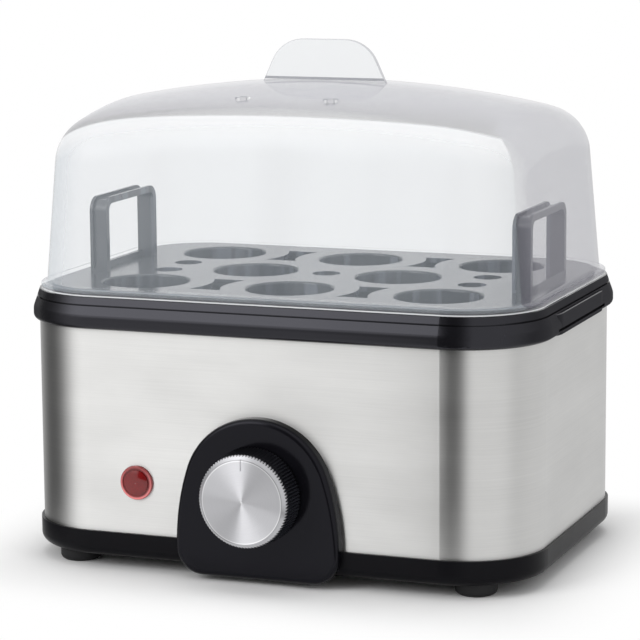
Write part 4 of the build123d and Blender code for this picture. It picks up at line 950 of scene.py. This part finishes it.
    def over_crest(self, tree: Tree, spot: Sockets, height: Socket) -> Socket:
        """How far a point lies above the crest's bowed line.

        Args:
            tree: the material's tree.
            spot: the place's X, Y and Z.
            height: the height above the foot.

        Returns:
            The socket of the distance in metres, below 0 under the line.
        """
        aside = tree.math("SUBTRACT", spot[0], self.crest_middle)
        bow = tree.math("MULTIPLY", tree.math("MULTIPLY", aside, aside), self.crest_bow)
        corner = tree.math("DIVIDE", tree.math("ABSOLUTE", aside), self.corner_reach)
        corner = tree.math("POWER", corner, self.corner_power)
        corner = tree.math("MULTIPLY", corner, self.corner_drop)
        drop = tree.math("ADD", bow, corner)
        return tree.math("ADD", tree.math("SUBTRACT", height, self.crest_height), drop)

    def mark_edges(self, tree: Tree, normal: Sockets, height: Socket) -> Socket:
        """Marks the sharp edges of the vents and the tab, and the tab's root, for painted shade.

        Args:
            tree: the material's tree.
            normal: the normal's X, Y and Z.
            height: the height above the foot.

        Returns:
            The mask's socket.
        """
        edge = SharpEdges().put(tree, Radius=self.edge_radius).outputs["Mask"]
        above = tree.math("GREATER_THAN", height, self.edges_above)
        edge = tree.math("MULTIPLY", edge, above)
        root = tree.math("COMPARE", height, self.tab_root, self.tab_root_reach)
        facing = tree.math("GREATER_THAN", tree.math("ABSOLUTE", normal[1]), self.tab_facing)
        return tree.math("MAXIMUM", edge, tree.math("MULTIPLY", root, facing))

    def see_through(self, tree: Tree, marks: Socket) -> Socket:
        """Makes the haze: more at a slant and on marks, little inside, none on a wall's back.

        Args:
            tree: the material's tree.
            marks: the mask of edges and lines.

        Returns:
            The alpha's socket.
        """
        slant = tree.add("LayerWeight", {"Blend": 0.5}).outputs["Facing"]
        haze = tree.math("POWER", slant, self.slant_power)
        alpha = tree.spread(haze, self.face_alpha, self.slant_alpha)
        alpha = tree.blend(marks, alpha, self.edge_alpha)
        faces = tree.add("NewGeometry").outputs
        below = (self.centre[0], self.centre[1], self.foot)
        outward = tree.vector("SUBTRACT", tree.place(), below)
        outward = tree.measure("DOT_PRODUCT", outward, faces["True Normal"])
        outside = tree.math("GREATER_THAN", outward, 0.0)
        alpha = tree.blend(outside, self.inside_alpha, alpha)
        front = tree.math("SUBTRACT", 1.0, faces["Backfacing"])
        return tree.math("MULTIPLY", alpha, front, clamp=True)


@dataclass(frozen=True)
class RedLens(GrainedFinish):
    """Red translucent lens over a dark lamp, its rim a painted highlight, brightest at its foot."""

    grain: float = 500.0
    cloud: float = 220.0
    darkest: float = 0.6
    centre: Point = (0.0, 0.0, 0.0)
    rim_radius: float = 6.9 * MM
    rim_width: float = 0.9 * MM
    rim_highlight_colour: Colour = (0.95, 0.28, 0.28)
    rim_top_highlight_colour: Colour = (0.3, 0.05, 0.05)
    dimple: float = 0.01 * MM
    coat: float = 0.3
    coat_roughness: float = 0.05
    glow: float = 0.3
    glow_radius: Point = (4.0 * MM, 1.0 * MM, 1.0 * MM)
    glow_scale: float = 0.5

    def dress(self, tree: Tree, shader: Node) -> None:
        """Adds grain and the lens's rim, as a painted highlight, into colour, under a clear coat.

        Args:
            tree: the material's tree.
            shader: the Principled node.
        """
        place, tone = tree.place(), self.moulded(tree)["Tone"]
        colour = tree.mix(tone, shade(self.colour, self.darkest), self.colour)
        rim = {
            "Centre": self.centre, "Line Radius": self.rim_radius, "Line Width": self.rim_width,
            "Dimple": self.dimple,
        }
        # painted highlight on the rim, brighter at its foot than at its top
        rim = TurnedRings().put(tree, Place=place, **rim).outputs["Line"]
        height = tree.math("SUBTRACT", tree.parts(place)[2], self.centre[2])
        low = tree.ease(height, self.rim_radius, -self.rim_radius)
        rim_highlight_colour = tree.mix(low, self.rim_top_highlight_colour, self.rim_highlight_colour)
        tree.feed(shader.inputs["Base Color"], tree.mix(rim, colour, rim_highlight_colour))
        shader.inputs["Coat Weight"].default_value = self.coat
        shader.inputs["Coat Roughness"].default_value = self.coat_roughness
        shader.inputs["Subsurface Weight"].default_value = self.glow
        shader.inputs["Subsurface Radius"].default_value = self.glow_radius
        shader.inputs["Subsurface Scale"].default_value = self.glow_scale


def middle(node: str) -> Point:
    """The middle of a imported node's box, in metres."""
    low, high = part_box(node)
    return tuple((low + high) / 2)


COOL_SHEEN = (0.88, 0.88, 1.0)
BLACK_GLOSS = MouldedPlastic("black_gloss", (0.0045, 0.0043, 0.0055), 0.14, 0.45,
                             sheen_tint=COOL_SHEEN, wear_and_highlight=0.04, dust=0.0, side_roughness=0.75)
BLACK_PANEL = MouldedPlastic("black_panel", (0.0046, 0.0044, 0.006), 0.12, 0.18,
                             sheen_tint=COOL_SHEEN, wear_and_highlight=0.2, dust=0.0)
BLACK_RIBS = RibbedPlastic("black_ribs", (0.003, 0.003, 0.0036), 0.15, 0.9,
                           bump=0.004 * MM, sheen_tint=COOL_SHEEN, centre=middle("knob_skirt"))
BLACK_SATIN = MouldedPlastic("black_satin", (0.0048, 0.0046, 0.006), 0.3, 0.08,
                             wear_and_highlight=0.15, dust=0.02)
BLACK_RUBBER = MouldedPlastic("black_rubber", (0.012, 0.012, 0.013), 0.6, 0.3,
                              grain=900.0, dust=0.1)
# the tray's streaks are painted reflections in its cup walls; its lighter edges are partly painted
# highlight
TRAY_GREY = MouldedPlastic("tray_grey", (0.058, 0.06, 0.067), 0.18, 0.65,
                           bump=0.005 * MM, wear_and_highlight=0.05, wear_and_highlight_colour=(0.25, 0.25, 0.26), dust=0.0,
                           streaks=0.6, streak_centre=middle("egg_tray"))
WHITE_PLASTIC = MouldedPlastic("white_plastic", (0.6, 0.58, 0.54), 0.45, 0.4, dust=0.05)
WIRE_SLEEVE = MouldedPlastic("wire_sleeve", (0.45, 0.42, 0.38), 0.5, 0.3, dust=0.0)
SILICONE = MouldedPlastic("silicone", (0.55, 0.5, 0.45), 0.5, 0.3, dust=0.0)
STEEL_BAND = BrushedSteel("steel_band", (0.65, 0.648, 0.638), 0.35, anisotropy=0.98)
PAN_STEEL = BrushedSteel("pan_steel", (0.62, 0.62, 0.62), 0.28, anisotropy=0.3)
ZINC = PlainMetal("zinc", (0.62, 0.62, 0.6), 0.35)
ALUMINIUM = PlainMetal("aluminium", (0.66, 0.66, 0.67), 0.5)
BRASS = PlainMetal("brass", (0.66, 0.5, 0.24), 0.35)
CLEAR = ClearPlastic("clear_plastic", (0.243, 0.243, 0.3), 0.1, 0.8,
                     centre=middle("lid"), foot=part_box("lid")[0][2])
LENS = RedLens("red_lens", (0.22, 0.003, 0.004), 0.12, centre=middle("lamp_lens"))
SPUN = SpunAluminium("spun_aluminium", (0.7, 0.7, 0.725), 0.4, centre=middle("knob_cap"))


@dataclass
class Fittings:
    """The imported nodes, which keep their own mesh and get a finish."""

    finishes: dict[str, Finish]

    def dress(self) -> None:
        """Puts each finish into its node's material slots."""
        for node, finish in self.finishes.items():
            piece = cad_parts[node]
            for slot in piece.material_slots:
                slot.material = finish.build()
            log.info("%s: %s", node, finish.name)


@dataclass
class Camera:
    """The photograph's camera: where it stands around the aim point, and its lens."""

    azimuth: float = 20.97
    elevation: float = 9.70
    distance: float = 1264.17 * MM
    roll: float = -0.434
    aim: Point = (-2.77 * MM, 8.09 * MM, 100.18 * MM)
    lens: float = 159.78
    sensor: float = 36.0

    def place(self) -> None:
        """Adds the camera and makes it the scene's."""
        data = bpy.data.cameras.new("camera")
        data.lens = self.lens
        data.sensor_width = self.sensor
        data.sensor_fit = "HORIZONTAL"
        around, up = math.radians(self.azimuth), math.radians(self.elevation)
        level = math.cos(up)
        back = Vector((math.sin(around) * level, -math.cos(around) * level, math.sin(up)))
        turn = Matrix.Rotation(around, 4, "Z") @ Matrix.Rotation(math.pi / 2 - up, 4, "X")
        turn = turn @ Matrix.Rotation(math.radians(self.roll), 4, "Z")
        camera = bpy.data.objects.new("camera", data)
        spot = Vector(self.aim) + back * self.distance
        camera.matrix_world = Matrix.Translation(spot) @ turn
        bpy.context.scene.collection.objects.link(camera)
        bpy.context.scene.camera = camera
        log.info("camera: %.2f mm lens", self.lens)


@dataclass
class Lamp:
    """One soft area lamp aimed at the object. Mirrored rays don't see it."""

    name: str
    place: Point
    size: float
    power: float

    def light(self, aim: Point) -> None:
        """Adds the lamp.

        Args:
            aim: the point that the lamp faces.
        """
        data = bpy.data.lights.new(self.name, "AREA")
        data.size = self.size
        data.energy = self.power
        lamp = bpy.data.objects.new(self.name, data)
        lamp.location = self.place
        way = Vector(aim) - Vector(self.place)
        lamp.rotation_euler = way.to_track_quat("-Z", "Y").to_euler()
        lamp.visible_glossy = False
        bpy.context.scene.collection.objects.link(lamp)
        log.info("lamp: %s", self.name)


LAMPS = (
    Lamp("front_left", (-0.9, -1.3, 0.9), 0.9, 12.0),
    Lamp("front_right", (1.4, -0.6, 0.8), 0.8, 2.5),
    Lamp("overhead", (0.0, 0.3, 1.5), 1.1, 6.5),
)


@dataclass
class Studio:
    """Plain pale floor, pale surroundings and soft lamps.

    The floor shows its shadow around the footprint and turns into plain white beyond. Mirrored
    rays see a ring of levels around the object, a soft box at the front left and a ceiling.
    """

    lamp_aim: Point = (0.0, 0.0, 100.0 * MM)
    floor_radius: float = 9.0
    floor_sides: int = 64
    floor_white: float = 0.97
    floor_roughness: float = 0.9
    footprint: Point = (108.0 * MM, 86.0 * MM, 0.0)
    shadow_reach: float = 55.0 * MM
    front_corner: Point = (80.0 * MM, -71.0 * MM, 0.0)
    world_light: float = 0.58
    box_low: float = 0.12
    box_full: float = 0.45
    box_gain: float = 3.4
    box_from: float = -100.0
    box_to: float = -4.0
    box_fade: float = 14.0
    ceiling_low: float = 0.6
    ceiling_full: float = 0.9
    ceiling_light: float = 1.3
    rear_near: float = 0.6
    rear_full: float = 0.85
    rear_light: float = 1.0

    def build(self) -> None:
        """Makes floor, surroundings and lamps."""
        self.lay_floor()
        self.surround()
        for lamp in LAMPS:
            lamp.light(self.lamp_aim)

    def rays(self, tree: Tree) -> tuple[Socket, Socket]:
        """Tells the rays apart that look at the studio from those that carry its light.

        Args:
            tree: the floor's or the world's tree.

        Returns:
            The masks of mirrored rays, and of all rays that look.
        """
        path = tree.add("LightPath").outputs
        mirrored = path["Is Glossy Ray"]
        seen = tree.math("ADD", path["Is Camera Ray"], mirrored)
        return mirrored, tree.math("ADD", seen, path["Is Transmission Ray"], clamp=True)

    def lay_floor(self) -> None:
        """Makes a round floor that turns into plain white away from the object."""
        mesh = bpy.data.meshes.new("floor")
        turns = [2 * math.pi * side / self.floor_sides for side in range(self.floor_sides)]
        ring = [(self.floor_radius * math.cos(turn), self.floor_radius * math.sin(turn), 0.0)
                for turn in turns]
        mesh.from_pydata(ring, [], [list(range(self.floor_sides))])
        material = bpy.data.materials.new("floor")
        material.use_nodes = True
        tree = Tree(material.node_tree)
        shader = material.node_tree.nodes["Principled BSDF"]
        shader.inputs["Base Color"].default_value = (*grey(self.floor_white), 1)
        shader.inputs["Roughness"].default_value = self.floor_roughness
        shader.inputs["Specular IOR Level"].default_value = 0.0
        away = tree.vector("SUBTRACT", tree.vector("ABSOLUTE", tree.place()), self.footprint)
        away = tree.measure("LENGTH", tree.vector("MAXIMUM", away, (0, 0, 0)))
        far = tree.ease(away, 0.0, self.shadow_reach, smooth=True)
        mirrored, seen = self.rays(tree)
        x, y, z = self.front_corner
        left = tree.vector("SUBTRACT", tree.place(), (-x, y, z))
        right = tree.vector("SUBTRACT", tree.place(), (x, y, z))
        sides = {"From Left": left, "From Right": right}
        ring = StudioRing().put(tree, **sides).outputs["Level"]
        ring = tree.mix(mirrored, grey(1.0), ring)
        white = tree.add("Emission", {"Color": ring, "Strength": 1.0}).outputs[0]
        share = tree.math("MULTIPLY", far, seen)
        mixed = tree.add("MixShader", {0: share, 1: shader.outputs[0], 2: white})
        output = material.node_tree.nodes["Material Output"]
        tree.feed(output.inputs["Surface"], mixed.outputs[0])
        mesh.materials.append(material)
        floor = bpy.data.objects.new("floor", mesh)
        bpy.context.scene.collection.objects.link(floor)
        log.info("floor")

    def surround(self) -> None:
        """Makes pale surroundings: white to the eye, softer as light, shaped in reflections."""
        world = bpy.data.worlds.new("surroundings")
        world.use_nodes = True
        bpy.context.scene.world = world
        tree = Tree(world.node_tree)
        mirrored, seen = self.rays(tree)
        way = tree.add("TexCoord").outputs["Generated"]
        ring = StudioRing().put(tree, **{"From Left": way, "From Right": way}).outputs["Level"]
        parts = tree.parts(way)
        angle = tree.math("DEGREES", tree.bearing(parts))
        after = tree.ease(angle, self.box_from, self.box_from + self.box_fade)
        before = tree.ease(angle, self.box_to, self.box_to - self.box_fade)
        high = tree.ease(parts[2], self.box_low, self.box_full)
        box = tree.math("MULTIPLY", high, tree.math("MULTIPLY", after, before))
        ring = tree.math("MULTIPLY", ring, tree.spread(box, 1.0, self.box_gain))
        over = tree.ease(parts[2], self.ceiling_low, self.ceiling_full)
        ring = tree.mix(over, ring, grey(self.ceiling_light))
        behind = tree.ease(parts[1], self.rear_near, self.rear_full)
        ring = tree.mix(behind, ring, grey(self.rear_light))
        back = world.node_tree.nodes["Background"]
        tree.feed(back.inputs["Color"], tree.mix(mirrored, grey(1.0), ring))
        tree.feed(back.inputs["Strength"], tree.spread(seen, self.world_light, 1.0))
        log.info("surroundings")


FINISHES: dict[str, Finish] = {
    "base_shell": BLACK_SATIN,
    "feet": BLACK_RUBBER,
    "base_screws": ZINC,
    "steel_band": STEEL_BAND,
    "top_collar": BLACK_GLOSS,
    "pan_seal": SILICONE,
    "heating_pan": PAN_STEEL,
    "heat_spreader": ALUMINIUM,
    "heating_element": PAN_STEEL,
    "pan_bracket": ZINC,
    "bracket_screws": ZINC,
    "stud_nuts": ZINC,
    "thermostat": WHITE_PLASTIC,
    "thermostat_screws": ZINC,
    "thermal_fuse": WHITE_PLASTIC,
    "control_panel": BLACK_PANEL,
    "panel_screws": ZINC,
    "knob_skirt": BLACK_RIBS,
    "knob_cap": SPUN,
    "timer_shaft": ZINC,
    "timer_case": WHITE_PLASTIC,
    "timer_plate": ZINC,
    "timer_screws": ZINC,
    "timer_tabs": BRASS,
    "lamp_lens": LENS,
    "lamp_body": WHITE_PLASTIC,
    "lamp_clip": ZINC,
    "cord_inlet": BLACK_SATIN,
    "terminal_block": WHITE_PLASTIC,
    "terminal_screws": BRASS,
    "internal_leads": WIRE_SLEEVE,
    "egg_tray": TRAY_GREY,
    "left_tray_handle": TRAY_GREY,
    "right_tray_handle": TRAY_GREY,
    "lid": CLEAR,
}


def main() -> None:
    """Builds the studio and dresses the object."""
    logging.basicConfig(level=logging.INFO, format="%(name)s: %(message)s")
    bpy.context.scene.view_settings.view_transform = "Standard"
    Camera().place()
    Studio().build()
    Fittings(FINISHES).dress()


if __name__ == "__main__":
    main()
